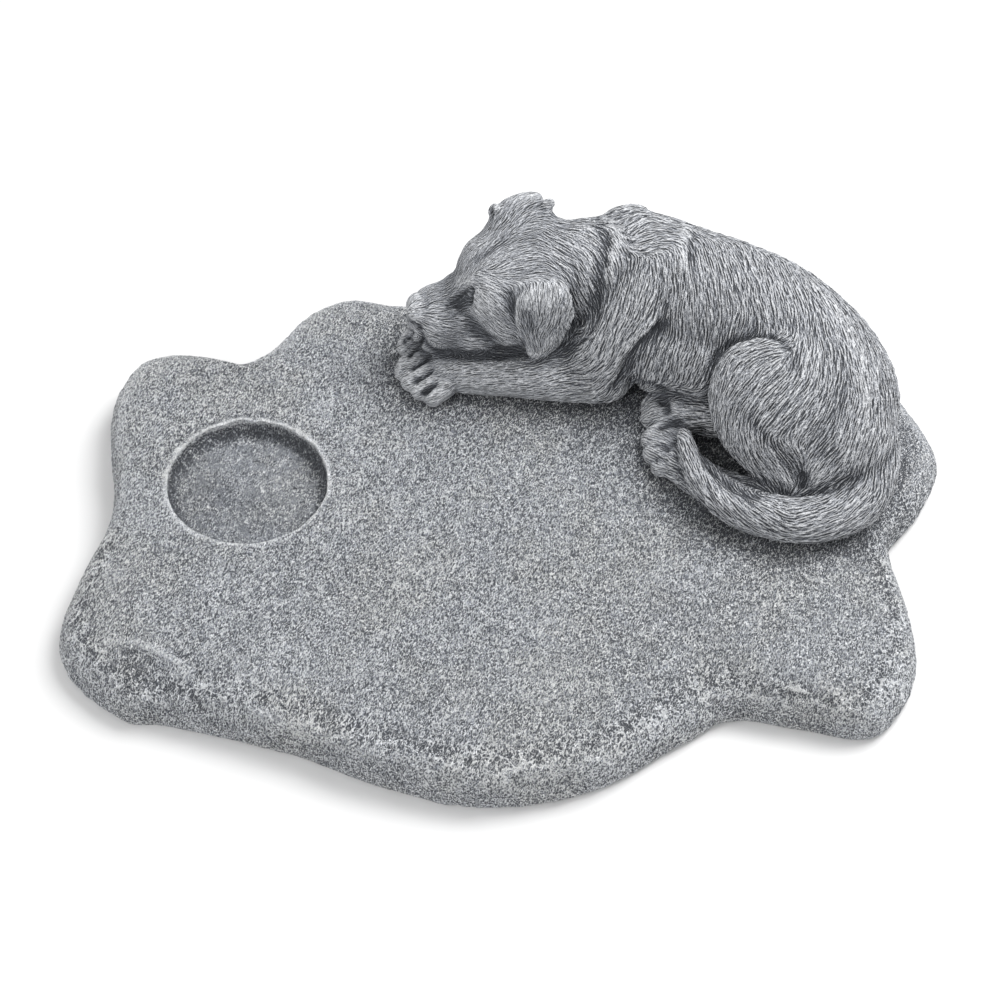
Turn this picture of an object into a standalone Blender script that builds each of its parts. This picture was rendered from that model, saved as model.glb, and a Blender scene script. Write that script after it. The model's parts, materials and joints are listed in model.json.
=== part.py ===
"""A pet memorial stone: a dog curled up asleep on a wavy slab with a round recess for a tea light.

The slab and the dog are one casting, so the model is one solid.
Lengths are in millimetres until MM turns them into metres. +X is to the right, +Y to the back, +Z up.
The origin is on the ground, under the middle of the slab.
"""

import math

import bmesh
import bpy
import numpy as np
from mathutils import Matrix, Vector

MM = 0.001

# The slab: a rolled rim all round, and a crown that rises gently behind it
SLAB_LENGTH = 226.0
SLAB_DEPTH = 172.0
SLAB_THICKNESS = 16.0
OUTLINE_STEPS = 3
FOOT_INSET = 1.8
WIDEST_HEIGHT = 2.2
RIM_INSET = 5.0
RIM_SHARES = (0.0, 0.07, 0.28, 0.6, 1.0)
RIM_SQUARENESS = 2.2
CROWN_SHARES = (0.25, 0.58, 1.0)
TOP_RINGS = (0.66, 0.33)

# The slab's widest line, anticlockwise from the right-hand lobe: x, y, rim height, width of the rise to the crown
OUTLINE = (
    (115.5, 15, 10, 26), (109.5, 1, 10.5, 24), (100, -13, 11, 24), (103, -34, 10, 26), (102.5, -51, 9.5, 28),
    (91.5, -66.5, 9, 28), (74, -64.5, 9, 28), (57, -62, 9, 32), (43, -69.5, 10, 36), (22, -82, 11.5, 40),
    (-4, -86.5, 12.5, 40), (-28, -81.4, 13, 38), (-52, -71.6, 12.5, 34), (-76, -65, 10.5, 28), (-85, -63, 9, 24),
    (-93, -62, 8, 24), (-105, -52.5, 7.5, 24), (-110.5, -41, 8, 24), (-108, -25, 9, 20), (-102.4, -8, 10.5, 16),
    (-102, 4, 11, 15), (-104.5, 22, 11, 15), (-104.5, 36, 11, 15), (-98.3, 46.8, 11, 15), (-86, 48, 11, 14),
    (-74, 45.4, 11, 14), (-64, 51.7, 11, 14), (-55, 63.7, 11, 15), (-44, 70, 11, 15), (-31, 68.4, 11, 15),
    (-17, 69, 11, 15), (2, 77, 11, 15), (27, 85.5, 11, 15), (52, 80, 11, 15), (72, 67, 11, 15),
    (90, 55.5, 11, 16), (103, 42, 10.5, 18), (111.5, 28, 10, 22),
)

# The recess for a tea light, placed by shares of the slab's length and depth
RECESS_DIAMETER = 42.0
RECESS_DEPTH = 5.5
RECESS_X = -0.299 * SLAB_LENGTH
RECESS_Y = 0.012 * SLAB_DEPTH
RECESS_SIDES = 64

# The dog. Its stations are measured on a dog POSE_LENGTH long, from the point POSE_PLACE
# of the slab's top, so that one length scales the whole figure.
DOG_LENGTH = 125.0
POSE_LENGTH = 125.0
POSE_PLACE = (34.0, 22.0)
DOG_X = 0.15 * SLAB_LENGTH
DOG_Y = 0.129 * SLAB_DEPTH

# How finely the dog is fused, smoothed and thinned
CAP_DEGREES = (72, 48, 24)
BODY_VOXEL = 1.2
SKIN_VOXEL = 0.85
BODY_SMOOTHING = 5
SKIN_SMOOTHING = 2
DOG_TRIANGLES = 6500

STONE_COLOUR = (0.30, 0.32, 0.345, 1.0)
STONE_ROUGHNESS = 0.85

# Stations: x, y, height above the slab's top, half width across, half height
TRUNK = (
    (18, 52, 19.5, 12.5, 14.5), (32, 52, 20, 16.6, 20.4), (46, 46, 19.6, 18, 20.4), (57, 41.5, 19, 18.2, 20),
    (68, 35.5, 18.2, 17.2, 19.4), (77.5, 26.2, 17, 16.4, 18.2), (83.5, 16.5, 15, 15, 16.8), (85, 5, 12, 12.2, 14),
)
NECK = ((32, 52, 23, 15, 16.5), (20, 52, 23, 14.2, 15.6), (9, 51.5, 23, 13.5, 14))
THROAT = ((24, 44, 11, 11, 11), (12, 44, 10, 10, 10), (2, 45, 9, 8, 8))
NEAR_ARM = (
    (21, 31.5, 7.5, 8, 7.8), (24.5, 33.5, 13.5, 9, 9.2), (30, 36.2, 20.5, 9.4, 9.6), (35, 42, 27.5, 9.6, 9.6),
    (37, 49.5, 31.5, 8.5, 8.5),
)
NEAR_FOREARM = (
    (25, 31.5, 7, 7.6, 7.2), (14, 31.5, 6.2, 6.9, 6.5), (0, 33, 5.4, 6.1, 6), (-11, 34, 4.8, 5.8, 5.4),
    (-17, 36.8, 3.8, 7.2, 4.8),
)
FAR_FOREARM = ((22, 55, 6, 7, 6.5), (4, 53, 5, 6.2, 6), (-12, 50, 4.4, 5.8, 5.2), (-19.5, 47.2, 3.8, 5, 4.4))
RIB_BULGE = ((39, 31.5, 12, 8, 11.4), (48, 31, 14, 11, 13), (58, 28, 14, 10, 13))
SHANK = (
    (57, 15, 19, 7, 8), (58.5, 9, 16.5, 7.2, 8), (62.5, 4, 12.5, 7, 7.5), (67.5, 0, 9.5, 6.4, 6.6),
    (73, -4.5, 6.5, 5.6, 5.6),
)
NEAR_HIND_FOOT = ((74, -5, 5, 5.5, 5.5), (61, -4, 5, 6, 5.8), (51, -1.5, 4.6, 5.6, 5.4), (43, 4.5, 3.8, 5, 4.8))
FAR_HIND_FOOT = ((64, 16, 5, 5.5, 5), (53, 18, 5.5, 5, 5), (44, 20.5, 4.6, 4.8, 4.8))
TAIL = (
    (86, 17, 14, 9, 10), (90, 5, 10.5, 8.4, 9), (90.5, -3.5, 7.8, 6.8, 7.4), (86, -11, 6.2, 6.2, 6.4),
    (76, -15, 5.6, 5.8, 6), (66, -14.3, 5.6, 5.6, 5.8), (56.5, -10.5, 6, 5.2, 5.4), (49.5, -4.3, 7.2, 4.6, 4.6),
    (46, 2.2, 8.6, 3.6, 3.6), (44.3, 9, 9.2, 2, 2),
)

# Rounded masses: centre, half sizes along the mass, across it and up it, then yaw, pitch and roll in degrees
NEAR_THIGH = ((71.5, 13, 18.5), (21.5, 20.5, 13.5), (0, 0, 38))
HAUNCH = ((78, 1, 9.5), (12, 10, 10), (0, 0, 0))
NEAR_SCAPULA = ((36, 48.5, 31), (10, 7.5, 9), (20, 0, 30))
FAR_SCAPULA = ((31, 58.5, 28), (10, 7.5, 10.5), (0, 0, -30))

# The head: its middle, and the way the nose points
HEAD_PLACE = (0.5, 49.2, 22)
HEAD_YAW = 192.0
HEAD_PITCH = 14.0
HEAD_SQUARENESS = 2.5

# In the head's own frame: forward to the nose, left, up
SKULL = (
    (-10, 0, 0, 13, 13), (-4, 0, 0, 15.4, 14.6), (1, 0, -0.5, 16, 15.2), (5, 0, -2.5, 14.2, 13.4),
    (8.5, 0, -4.8, 11.8, 11), (13, 0, -5, 10.6, 10.2), (17, 0, -4.2, 9.8, 9.8), (20.5, 0, -2.4, 8.7, 8.5),
)
BROW = ((4, 6.6, 8.6), (4.6, 4.8, 4.4), (0, 0, 0))
CHEEK = ((3.5, 9.8, -1), (7.5, 7, 9.5), (0, 0, 0))
NOSE = ((26.2, 0, 3.2), (3, 4.6, 3.8), (0, 0, 0))
EAR = (
    (-10, 9.5, 8.5, 6, 3.2), (-9, 12.8, 12, 6.4, 3.4), (-7.8, 15.6, 11.8, 7.4, 2.8), (-6, 17.2, 6.5, 7.4, 2.3),
    (-4, 17.6, 0.5, 6.4, 2.1), (-1.8, 17.4, -5, 4.8, 2), (0, 17, -9, 2.6, 1.8),
)
EAR_WIDTH_WAY = (-0.95, 0.2, -0.24)

# Toes: middle of each paw, half spread across it, the way the toes point in degrees, the number of toes
TOE_RADIUS = 2.2
TOE_LENGTH = 6.4
TOE_RISE = 2.7
PAWS = (
    ((-20.3, 35.5, 0), 5.9, 222.0, 4),
    ((-22.7, 48.7, 0), 2.1, 215.0, 2),
    ((41, 21, 0), 3.8, 190.0, 3),
    ((41, 9.5, 0), 4.6, 195.0, 3),
)


def clear_scene():
    """Removes what the file opened with."""
    for thing in list(bpy.data.objects):
        bpy.data.objects.remove(thing)


def collection(name):
    made = bpy.data.collections.new(name)
    bpy.context.scene.collection.children.link(made)
    return made


def smooth_rows(rows, steps, closed=False):
    """Rows of numbers read along a Catmull-Rom curve that passes through each of them."""
    rows = np.asarray(rows, float)
    count = len(rows)
    if closed:
        before, start, end, after = (np.roll(rows, shift, axis=0) for shift in (1, 0, -1, -2))
    else:
        padded = np.vstack([2 * rows[0] - rows[1], rows, 2 * rows[-1] - rows[-2]])
        before, start, end, after = (padded[k:k + count - 1] for k in range(4))
    share = (np.arange(steps) / steps)[None, :, None]
    before, start, end, after = (r[:, None, :] for r in (before, start, end, after))
    curve = 0.5 * (
        2 * start + (end - before) * share
        + (2 * before - 5 * start + 4 * end - after) * share ** 2
        + (3 * start - before - 3 * end + after) * share ** 3
    )
    curve = curve.reshape(-1, rows.shape[1])
    return curve if closed else np.vstack([curve, rows[-1]])


class Masses:
    """Gathers closed forms, which overlap, into one mesh that is then fused."""

    def __init__(self):
        self.vertices = []
        self.faces = []

    def add(self, vertices, faces):
        base = len(self.vertices)
        self.vertices.extend(tuple(v) for v in vertices)
        self.faces.extend(tuple(base + i for i in face) for face in faces)

    def add_loft(self, stations, frame=Matrix.Identity(4), steps=4, sides=18, squareness=2.0, width_way=None):
        """Rings carried along a smooth path through the stations, with rounded ends.

        The rings are ellipses, or squarer than that. Their width lies level, or along width_way.
        """
        rows = smooth_rows(stations, steps)
        centres, half_width, half_height = rows[:, :3], rows[:, 3], rows[:, 4]
        along = np.gradient(centres, axis=0)
        along /= np.linalg.norm(along, axis=1, keepdims=True)
        across = np.cross(along, (0.0, 0.0, 1.0)) if width_way is None else np.asarray(width_way, float)
        across = across - along * np.sum(across * along, axis=1, keepdims=True)
        across /= np.linalg.norm(across, axis=1, keepdims=True)
        upward = np.cross(across, along)
        # each end is rounded off by shrinking rings
        cap = np.radians(CAP_DEGREES)
        ends = len(cap)
        ring_of = np.concatenate([np.zeros(ends, int), np.arange(len(rows)), np.full(ends, len(rows) - 1)])
        shrink = np.concatenate([np.cos(cap), np.ones(len(rows)), np.cos(cap[::-1])])
        reach = np.concatenate([-np.sin(cap), np.zeros(len(rows)), np.sin(cap[::-1])])
        blunt = np.minimum(half_width, half_height)
        middle = centres[ring_of] + along[ring_of] * (reach * blunt[ring_of])[:, None]
        turn = np.arange(sides) * 2 * math.pi / sides
        side_share, rise_share = (np.sign(w) * np.abs(w) ** (2 / squareness) for w in (np.cos(turn), np.sin(turn)))
        rings = (
            middle[:, None, :]
            + across[ring_of][:, None, :] * (half_width[ring_of] * shrink)[:, None, None] * side_share[None, :, None]
            + upward[ring_of][:, None, :] * (half_height[ring_of] * shrink)[:, None, None] * rise_share[None, :, None]
        )
        tips = np.array([centres[0] - along[0] * blunt[0], centres[-1] + along[-1] * blunt[-1]])
        points = np.vstack([rings.reshape(-1, 3), tips])
        points = points @ np.array(frame.to_3x3()).T + np.array(frame.translation)
        count = len(rings)
        faces = [
            (r * sides + s, r * sides + (s + 1) % sides, (r + 1) * sides + (s + 1) % sides, (r + 1) * sides + s)
            for r in range(count - 1) for s in range(sides)
        ]
        first, last = count * sides, count * sides + 1
        faces += [((s + 1) % sides, s, first) for s in range(sides)]
        faces += [((count - 1) * sides + s, (count - 1) * sides + (s + 1) % sides, last) for s in range(sides)]
        self.add(points, faces)

    def add_ellipsoid(self, mass, frame=Matrix.Identity(4)):
        """A sphere primitive stretched to a mass's half sizes and turned."""
        centre, half_sizes, (yaw, pitch, roll) = mass
        turn = (
            Matrix.Rotation(math.radians(yaw), 4, "Z")
            @ Matrix.Rotation(math.radians(pitch), 4, "Y")
            @ Matrix.Rotation(math.radians(roll), 4, "X")
        )
        place = frame @ Matrix.Translation(centre) @ turn @ Matrix.Diagonal((*half_sizes, 1))
        shape = bmesh.new()
        bmesh.ops.create_uvsphere(shape, u_segments=28, v_segments=16, radius=1, matrix=place)
        self.add([v.co for v in shape.verts], [[v.index for v in f.verts] for f in shape.faces])
        shape.free()

    def to_object(self, name, group, scale=Matrix.Identity(4)):
        mesh = bpy.data.meshes.new(name)
        mesh.from_pydata(self.vertices, [], self.faces)
        mesh.transform(scale)
        shape = bmesh.new()
        shape.from_mesh(mesh)
        bmesh.ops.recalc_face_normals(shape, faces=shape.faces)
        shape.to_mesh(mesh)
        shape.free()
        made = bpy.data.objects.new(name, mesh)
        group.objects.link(made)
        return made


def mirrored(row_or_mass):
    """The same station or mass on the other side of the head."""
    if isinstance(row_or_mass[0], tuple):
        (x, y, z), half_sizes, (yaw, pitch, roll) = row_or_mass
        return ((x, -y, z), half_sizes, (-yaw, pitch, -roll))
    return (row_or_mass[0], -row_or_mass[1], *row_or_mass[2:])


def head_frame():
    return (
        Matrix.Translation(HEAD_PLACE)
        @ Matrix.Rotation(math.radians(HEAD_YAW), 4, "Z")
        @ Matrix.Rotation(math.radians(HEAD_PITCH), 4, "Y")
    )


def body_masses():
    """Trunk, neck, legs and skull, whose joins are soft."""
    masses = Masses()
    for stations in (TRUNK, NECK, THROAT, NEAR_ARM, NEAR_FOREARM, FAR_FOREARM, RIB_BULGE, SHANK):
        masses.add_loft(stations)
    for mass in (NEAR_THIGH, HAUNCH, NEAR_SCAPULA, FAR_SCAPULA):
        masses.add_ellipsoid(mass)
    head = head_frame()
    masses.add_loft(SKULL, head, squareness=HEAD_SQUARENESS)
    for mass in (BROW, CHEEK):
        masses.add_ellipsoid(mass, head)
        masses.add_ellipsoid(mirrored(mass), head)
    return masses


def skin_masses():
    """Ears, nose, tail, feet and toes, whose edges stay crisp."""
    masses = Masses()
    head = head_frame()
    masses.add_ellipsoid(NOSE, head)
    width_way = Vector(EAR_WIDTH_WAY)
    masses.add_loft(EAR, head, width_way=width_way)
    masses.add_loft([mirrored(row) for row in EAR], head, width_way=width_way * Vector((1, -1, 1)))
    for stations in (TAIL, NEAR_HIND_FOOT, FAR_HIND_FOOT):
        masses.add_loft(stations)
    for (x, y, rise), spread, heading, toes in PAWS:
        forward = Vector((math.cos(math.radians(heading)), math.sin(math.radians(heading)), 0))
        sideways = Vector((-forward.y, forward.x, 0))
        for toe in range(toes):
            offset = spread * (2 * toe / (toes - 1) - 1)
            # the middle toes reach a little further than the outer ones
            reach = TOE_LENGTH * (1.0 - 0.18 * (offset / spread) ** 2)
            root = Vector((x, y, rise + TOE_RISE + 0.8)) + sideways * offset - forward * reach * 0.3
            knuckle = Vector((x, y, rise + TOE_RISE + 0.4)) + sideways * offset + forward * reach * 0.55
            tip = Vector((x, y, rise + TOE_RISE - 0.8)) + sideways * offset + forward * reach
            masses.add_loft([
                (*root, TOE_RADIUS * 0.9, TOE_RADIUS), (*knuckle, TOE_RADIUS, TOE_RADIUS * 1.1),
                (*tip, TOE_RADIUS * 0.8, TOE_RADIUS * 0.8),
            ], sides=12)
    return masses


def remesh(thing, voxel, smoothing):
    """Fuses overlapping forms into one skin, and softens the joins."""
    fuse = thing.modifiers.new("fuse", "REMESH")
    fuse.mode = "VOXEL"
    fuse.voxel_size = voxel * MM
    soften = thing.modifiers.new("soften", "SMOOTH")
    soften.factor = 0.5
    soften.iterations = smoothing


def evaluated_copy(thing, name, group):
    """The object as its modifiers leave it, as a plain mesh."""
    bpy.context.view_layer.update()
    graph = bpy.context.evaluated_depsgraph_get()
    mesh = bpy.data.meshes.new_from_object(thing.evaluated_get(graph))
    made = bpy.data.objects.new(name, mesh)
    group.objects.link(made)
    return made


def hide(thing):
    thing.hide_render = True
    thing.display_type = "WIRE"


def make_dog(guides):
    """The dog as one closed skin, a little sunk in the slab."""
    size = DOG_LENGTH / POSE_LENGTH
    place = (
        Matrix.Translation((DOG_X * MM, DOG_Y * MM, SLAB_THICKNESS * MM))
        @ Matrix.Scale(size * MM, 4)
        @ Matrix.Translation((-POSE_PLACE[0], -POSE_PLACE[1], 0))
    )
    body = body_masses().to_object("dog_body_masses", guides, place)
    remesh(body, BODY_VOXEL, BODY_SMOOTHING)
    skin = skin_masses().to_object("dog_skin_masses", guides, place)
    fused = evaluated_copy(body, "dog", guides)
    joined = bmesh.new()
    joined.from_mesh(fused.data)
    joined.from_mesh(skin.data)
    joined.to_mesh(fused.data)
    joined.free()
    remesh(fused, SKIN_VOXEL, SKIN_SMOOTHING)
    dog = evaluated_copy(fused, "dog_fused", guides)
    thin = dog.modifiers.new("thin", "DECIMATE")
    thin.ratio = min(1.0, DOG_TRIANGLES / (2 * len(dog.data.polygons)))
    for guide in (body, skin, fused):
        bpy.data.objects.remove(guide)
    hide(dog)
    return dog


def slab_outline():
    """The slab's widest line, centred and stretched to its length and depth, with its rim and rise."""
    curve = smooth_rows(OUTLINE, OUTLINE_STEPS, closed=True)
    low, high = curve.min(axis=0), curve.max(axis=0)
    shares = (curve - (low + high) / 2) / (high - low)
    return shares[:, :2] * np.array([SLAB_LENGTH, SLAB_DEPTH]), curve[:, 2], curve[:, 3]


def make_slab(group):
    """Rings drawn in from the widest line: over the rolled rim and up the crown, then across to the middle."""
    widest, rim, rise = slab_outline()
    outward = widest / np.hypot(*widest.T)[:, None]
    insets = [np.full(len(widest), RIM_INSET * share) for share in RIM_SHARES]
    insets += [RIM_INSET + (rise - RIM_INSET) * share for share in CROWN_SHARES]
    rings = [np.column_stack([widest - outward * FOOT_INSET, np.zeros(len(widest))])]
    for inset in insets:
        roll = (1 - (1 - np.minimum(inset / RIM_INSET, 1)) ** RIM_SQUARENESS) ** (1 / RIM_SQUARENESS)
        crown = 1 - (1 - inset / rise) ** 2
        height = WIDEST_HEIGHT + (rim - WIDEST_HEIGHT) * roll + (SLAB_THICKNESS - rim) * crown
        rings.append(np.column_stack([widest - outward * inset[:, None], height]))
    edge = rings[-1]
    for share in TOP_RINGS:
        rings.append(np.column_stack([edge[:, :2] * share, edge[:, 2]]))
    shape = bmesh.new()
    rows = [[shape.verts.new(Vector(p) * MM) for p in ring] for ring in rings]
    count = len(widest)
    for lower, upper in zip(rows, rows[1:]):
        for k in range(count):
            nxt = (k + 1) % count
            shape.faces.new((lower[k], lower[nxt], upper[nxt], upper[k]))
    shape.faces.new(rows[-1])
    shape.faces.new(rows[0][::-1])
    bmesh.ops.recalc_face_normals(shape, faces=shape.faces)
    mesh = bpy.data.meshes.new("slab")
    shape.to_mesh(mesh)
    shape.free()
    slab = bpy.data.objects.new("sleeping_dog_memorial_stone", mesh)
    group.objects.link(slab)
    return slab


def make_recess_cutter(guides):
    """A cylinder whose lower end is the recess's floor."""
    height = 2 * RECESS_DEPTH
    shape = bmesh.new()
    bmesh.ops.create_cone(
        shape, cap_ends=True, segments=RECESS_SIDES,
        radius1=RECESS_DIAMETER / 2 * MM, radius2=RECESS_DIAMETER / 2 * MM, depth=height * MM,
    )
    mesh = bpy.data.meshes.new("recess_cutter")
    shape.to_mesh(mesh)
    shape.free()
    cutter = bpy.data.objects.new("recess_cutter", mesh)
    cutter.location = Vector((RECESS_X, RECESS_Y, SLAB_THICKNESS - RECESS_DEPTH + height / 2)) * MM
    guides.objects.link(cutter)
    hide(cutter)
    return cutter


def stone_material():
    material = bpy.data.materials.new("cast_stone")
    material.use_nodes = True
    shader = material.node_tree.nodes["Principled BSDF"]
    shader.inputs["Base Color"].default_value = STONE_COLOUR
    shader.inputs["Roughness"].default_value = STONE_ROUGHNESS
    shader.inputs["Metallic"].default_value = 0.0
    return material


def boolean(target, tool, operation):
    step = target.modifiers.new(operation.lower(), "BOOLEAN")
    step.operation = operation
    step.solver = "EXACT"
    step.object = tool


def main():
    clear_scene()
    parts = collection("pet_memorial_statue")
    guides = collection("cutters_and_guides")
    stone = make_slab(parts)
    stone.data.materials.append(stone_material())
    boolean(stone, make_dog(guides), "UNION")
    boolean(stone, make_recess_cutter(guides), "DIFFERENCE")


main()
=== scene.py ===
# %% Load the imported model
import json
import math

import bmesh
import bpy
import numpy as np
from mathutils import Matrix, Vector
from mathutils.bvhtree import BVHTree

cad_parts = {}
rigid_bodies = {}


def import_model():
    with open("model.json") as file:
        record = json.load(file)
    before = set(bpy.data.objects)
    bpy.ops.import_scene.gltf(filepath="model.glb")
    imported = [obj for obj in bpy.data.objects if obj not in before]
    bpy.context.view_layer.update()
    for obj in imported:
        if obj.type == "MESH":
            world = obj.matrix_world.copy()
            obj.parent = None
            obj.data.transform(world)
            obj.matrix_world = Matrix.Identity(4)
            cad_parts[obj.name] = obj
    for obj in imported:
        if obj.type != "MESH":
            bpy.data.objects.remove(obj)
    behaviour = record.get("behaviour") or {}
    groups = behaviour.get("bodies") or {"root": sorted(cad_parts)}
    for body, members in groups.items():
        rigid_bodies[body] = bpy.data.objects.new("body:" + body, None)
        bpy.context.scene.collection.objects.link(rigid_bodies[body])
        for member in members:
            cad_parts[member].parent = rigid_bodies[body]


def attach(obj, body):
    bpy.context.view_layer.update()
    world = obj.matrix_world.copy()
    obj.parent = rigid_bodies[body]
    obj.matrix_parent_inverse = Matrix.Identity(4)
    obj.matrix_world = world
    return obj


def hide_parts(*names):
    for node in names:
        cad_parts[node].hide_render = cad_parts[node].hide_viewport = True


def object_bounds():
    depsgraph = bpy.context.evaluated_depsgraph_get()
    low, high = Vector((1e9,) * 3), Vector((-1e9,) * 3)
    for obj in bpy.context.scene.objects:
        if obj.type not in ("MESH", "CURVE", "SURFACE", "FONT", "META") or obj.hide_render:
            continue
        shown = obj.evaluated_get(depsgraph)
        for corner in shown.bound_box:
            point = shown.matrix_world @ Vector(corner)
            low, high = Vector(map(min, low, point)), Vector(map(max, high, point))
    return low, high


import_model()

NODE = "sleeping_dog_memorial_stone"
cad_low, cad_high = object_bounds()
print("CAD box, mm:", [round(c * 1000, 1) for c in (*cad_low, *cad_high)])

# %% [markdown]
# The object is one casting: a wavy, pebble-edged slab with a short-haired dog asleep on it and a round
# recess for a tea light. Everything below is worked out in millimetres and turned into metres when a mesh
# is made. Outlines and limbs are smooth curves through measured places. Straight lines would show their
# corners, and one arc can't follow a paw, so these are Catmull-Rom curves, which pass through every place.

# %% Smooth curves
MM = 0.001


def curve_through(rows, steps, closed=False):
    """Catmull-Rom: between rows b and c, with neighbours a and d, the value at share t is half of
    2b + (c - a)t + (2a - 5b + 4c - d)t^2 + (3b - a - 3c + d)t^3."""
    rows = np.asarray(rows, float)
    count = len(rows)
    if closed:
        a, b, c, d = (np.roll(rows, shift, axis=0)[:, None] for shift in (1, 0, -1, -2))
    else:
        padded = np.vstack([2 * rows[0] - rows[1], rows, 2 * rows[-1] - rows[-2]])
        a, b, c, d = (padded[k:k + count - 1, None] for k in range(4))
    t = (np.arange(steps) / steps)[None, :, None]
    curve = 0.5 * (
        2 * b + (c - a) * t + (2 * a - 5 * b + 4 * c - d) * t ** 2 + (3 * b - a - 3 * c + d) * t ** 3
    )
    curve = curve.reshape(-1, rows.shape[1])
    return curve if closed else np.vstack([curve, rows[-1]])


print("a curve through 4 places, 5 steps each:", len(curve_through(np.eye(4), 5)), "points")

# %% [markdown]
# Stone has lumps and fur has strokes, and both come from smooth random heights. Blender's noise textures
# only reach a material, so the meshes use this one: random heights on a lattice, blended in between. The
# heights are mixed from the corner's own numbers, so every run gives the same stone.

# %% Smooth noise
def noise(points, size, seed=0):
    """Heights from -1 to 1 that vary smoothly over the given size: the random heights at the eight corners
    of a point's lattice cell are blended with weights 3t^2 - 2t^3 along each axis."""
    cell = points / size
    base = np.floor(cell).astype(np.int64)
    t = cell - base
    t = t * t * (3 - 2 * t)
    total = np.zeros(len(points))
    for corner in np.ndindex(2, 2, 2):
        x, y, z = (base + corner).T
        mixed = (x * 73856093) ^ (y * 19349663) ^ (z * 83492791) ^ (seed * 40503 + 977)
        mixed = ((mixed ^ (mixed >> 13)) * 1274126177) & 0x7FFFFFFF
        total += (mixed / 0x3FFFFFFF - 1) * np.prod(np.where(corner, t, 1 - t), axis=1)
    return total


def waves(points, rows):
    """The sum of several noises: height * noise for each row of height, size and seed."""
    return sum(height * noise(points, size, seed) for height, size, seed in rows)


def swell(distance, middle, width):
    """1 at the middle, less on both sides: exp(-((distance - middle) / width)^2)."""
    return np.exp(-((distance - middle) / width) ** 2)


print("noise at three places:", noise(np.eye(3) * 4, 2.5).round(2))

# %% [markdown]
# Blender takes a mesh as corner places and rows of corner numbers. Whole arrays go in and come out in one
# call each, which is many times faster than a loop over the corners.

# %% From arrays to meshes
def new_object(name, data):
    """An object for a mesh, a lamp or the camera, put into the scene."""
    made = bpy.data.objects.new(name, data)
    bpy.context.scene.collection.objects.link(made)
    return made


def shade_smooth(mesh):
    """The light runs over the edges between faces, as over one skin."""
    mesh.polygons.foreach_set("use_smooth", np.full(len(mesh.polygons), True))


def mesh_object(name, points, faces):
    """Points in millimetres and rows of corner numbers become an object in metres."""
    mesh = bpy.data.meshes.new(name)
    mesh.from_pydata((points * MM).tolist(), [], [tuple(f) for block in faces for f in block.tolist()])
    mesh.update()
    shade_smooth(mesh)
    return new_object(name, mesh)


def triangles(thing):
    """How many triangles a mesh object's faces come to: corners less two for each face."""
    return sum(len(face.vertices) - 2 for face in thing.data.polygons)


def places(thing):
    """A mesh object's corner points, in millimetres."""
    co = np.zeros(len(thing.data.vertices) * 3, np.float32)
    thing.data.vertices.foreach_get("co", co)
    return co.reshape(-1, 3).astype(float) / MM


def put(thing, points):
    """Moves a mesh object's corner points to places in millimetres."""
    thing.data.vertices.foreach_set("co", (points * MM).astype(np.float32).ravel())
    thing.data.update()


def normals(thing):
    """The outward direction at each corner point."""
    way = np.zeros(len(thing.data.vertices) * 3, np.float32)
    thing.data.vertices.foreach_get("normal", way)
    return way.reshape(-1, 3).astype(float)


print("a millimetre is", MM, "of Blender's units")

# %% [markdown]
# The camera comes early, because some details are placed by where they appear in the photograph. Its
# height angle and lens follow from the recess: a circle that looks like an ellipse 0.78 as tall as it is
# wide is seen from about 52 degrees above the ground.

# %% The camera
CAMERA_TILT = 52.5
CAMERA_LENS = 80.0
CAMERA_SENSOR = 36.0
CAMERA_AIM = np.array([-2.8, 0.25, 10.0])
CAMERA_DISTANCE = 573.0
FRAME_SIZE = 1000

tilt = math.radians(CAMERA_TILT)
away = np.array([0.0, math.cos(tilt), -math.sin(tilt)])
up = np.array([0.0, math.sin(tilt), math.cos(tilt)])
right = np.array([1.0, 0.0, 0.0])
eye = CAMERA_AIM - away * CAMERA_DISTANCE

camera = new_object("camera", bpy.data.cameras.new("camera"))
bpy.context.scene.camera = camera
camera.data.lens = CAMERA_LENS
camera.data.sensor_width = CAMERA_SENSOR
camera.data.clip_start = 0.01
camera.location = Vector(eye * MM)
camera.rotation_mode = "QUATERNION"
camera.rotation_quaternion = Vector(away).to_track_quat("-Z", "Y")
print("camera at, mm:", eye.round(1))

# %% [markdown]
# The slab's plan is a star-shaped blob, so its edge is one distance from the middle for each direction. It
# could be a filled curve, but a distance for each direction also tells how far in from the edge a place lies,
# which the rim, the crests and the painted shade on the wall all need.

# %% The slab's plan
SLAB_LENGTH = 226.0
SLAB_DEPTH = 172.0
SLAB_TOP = 16.0
RIM_ROLL = 5.0
RIM_SQUARENESS = 2.2
WIDEST_AT = 2.2
RELIEF_ROOM = 0.45
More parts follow.
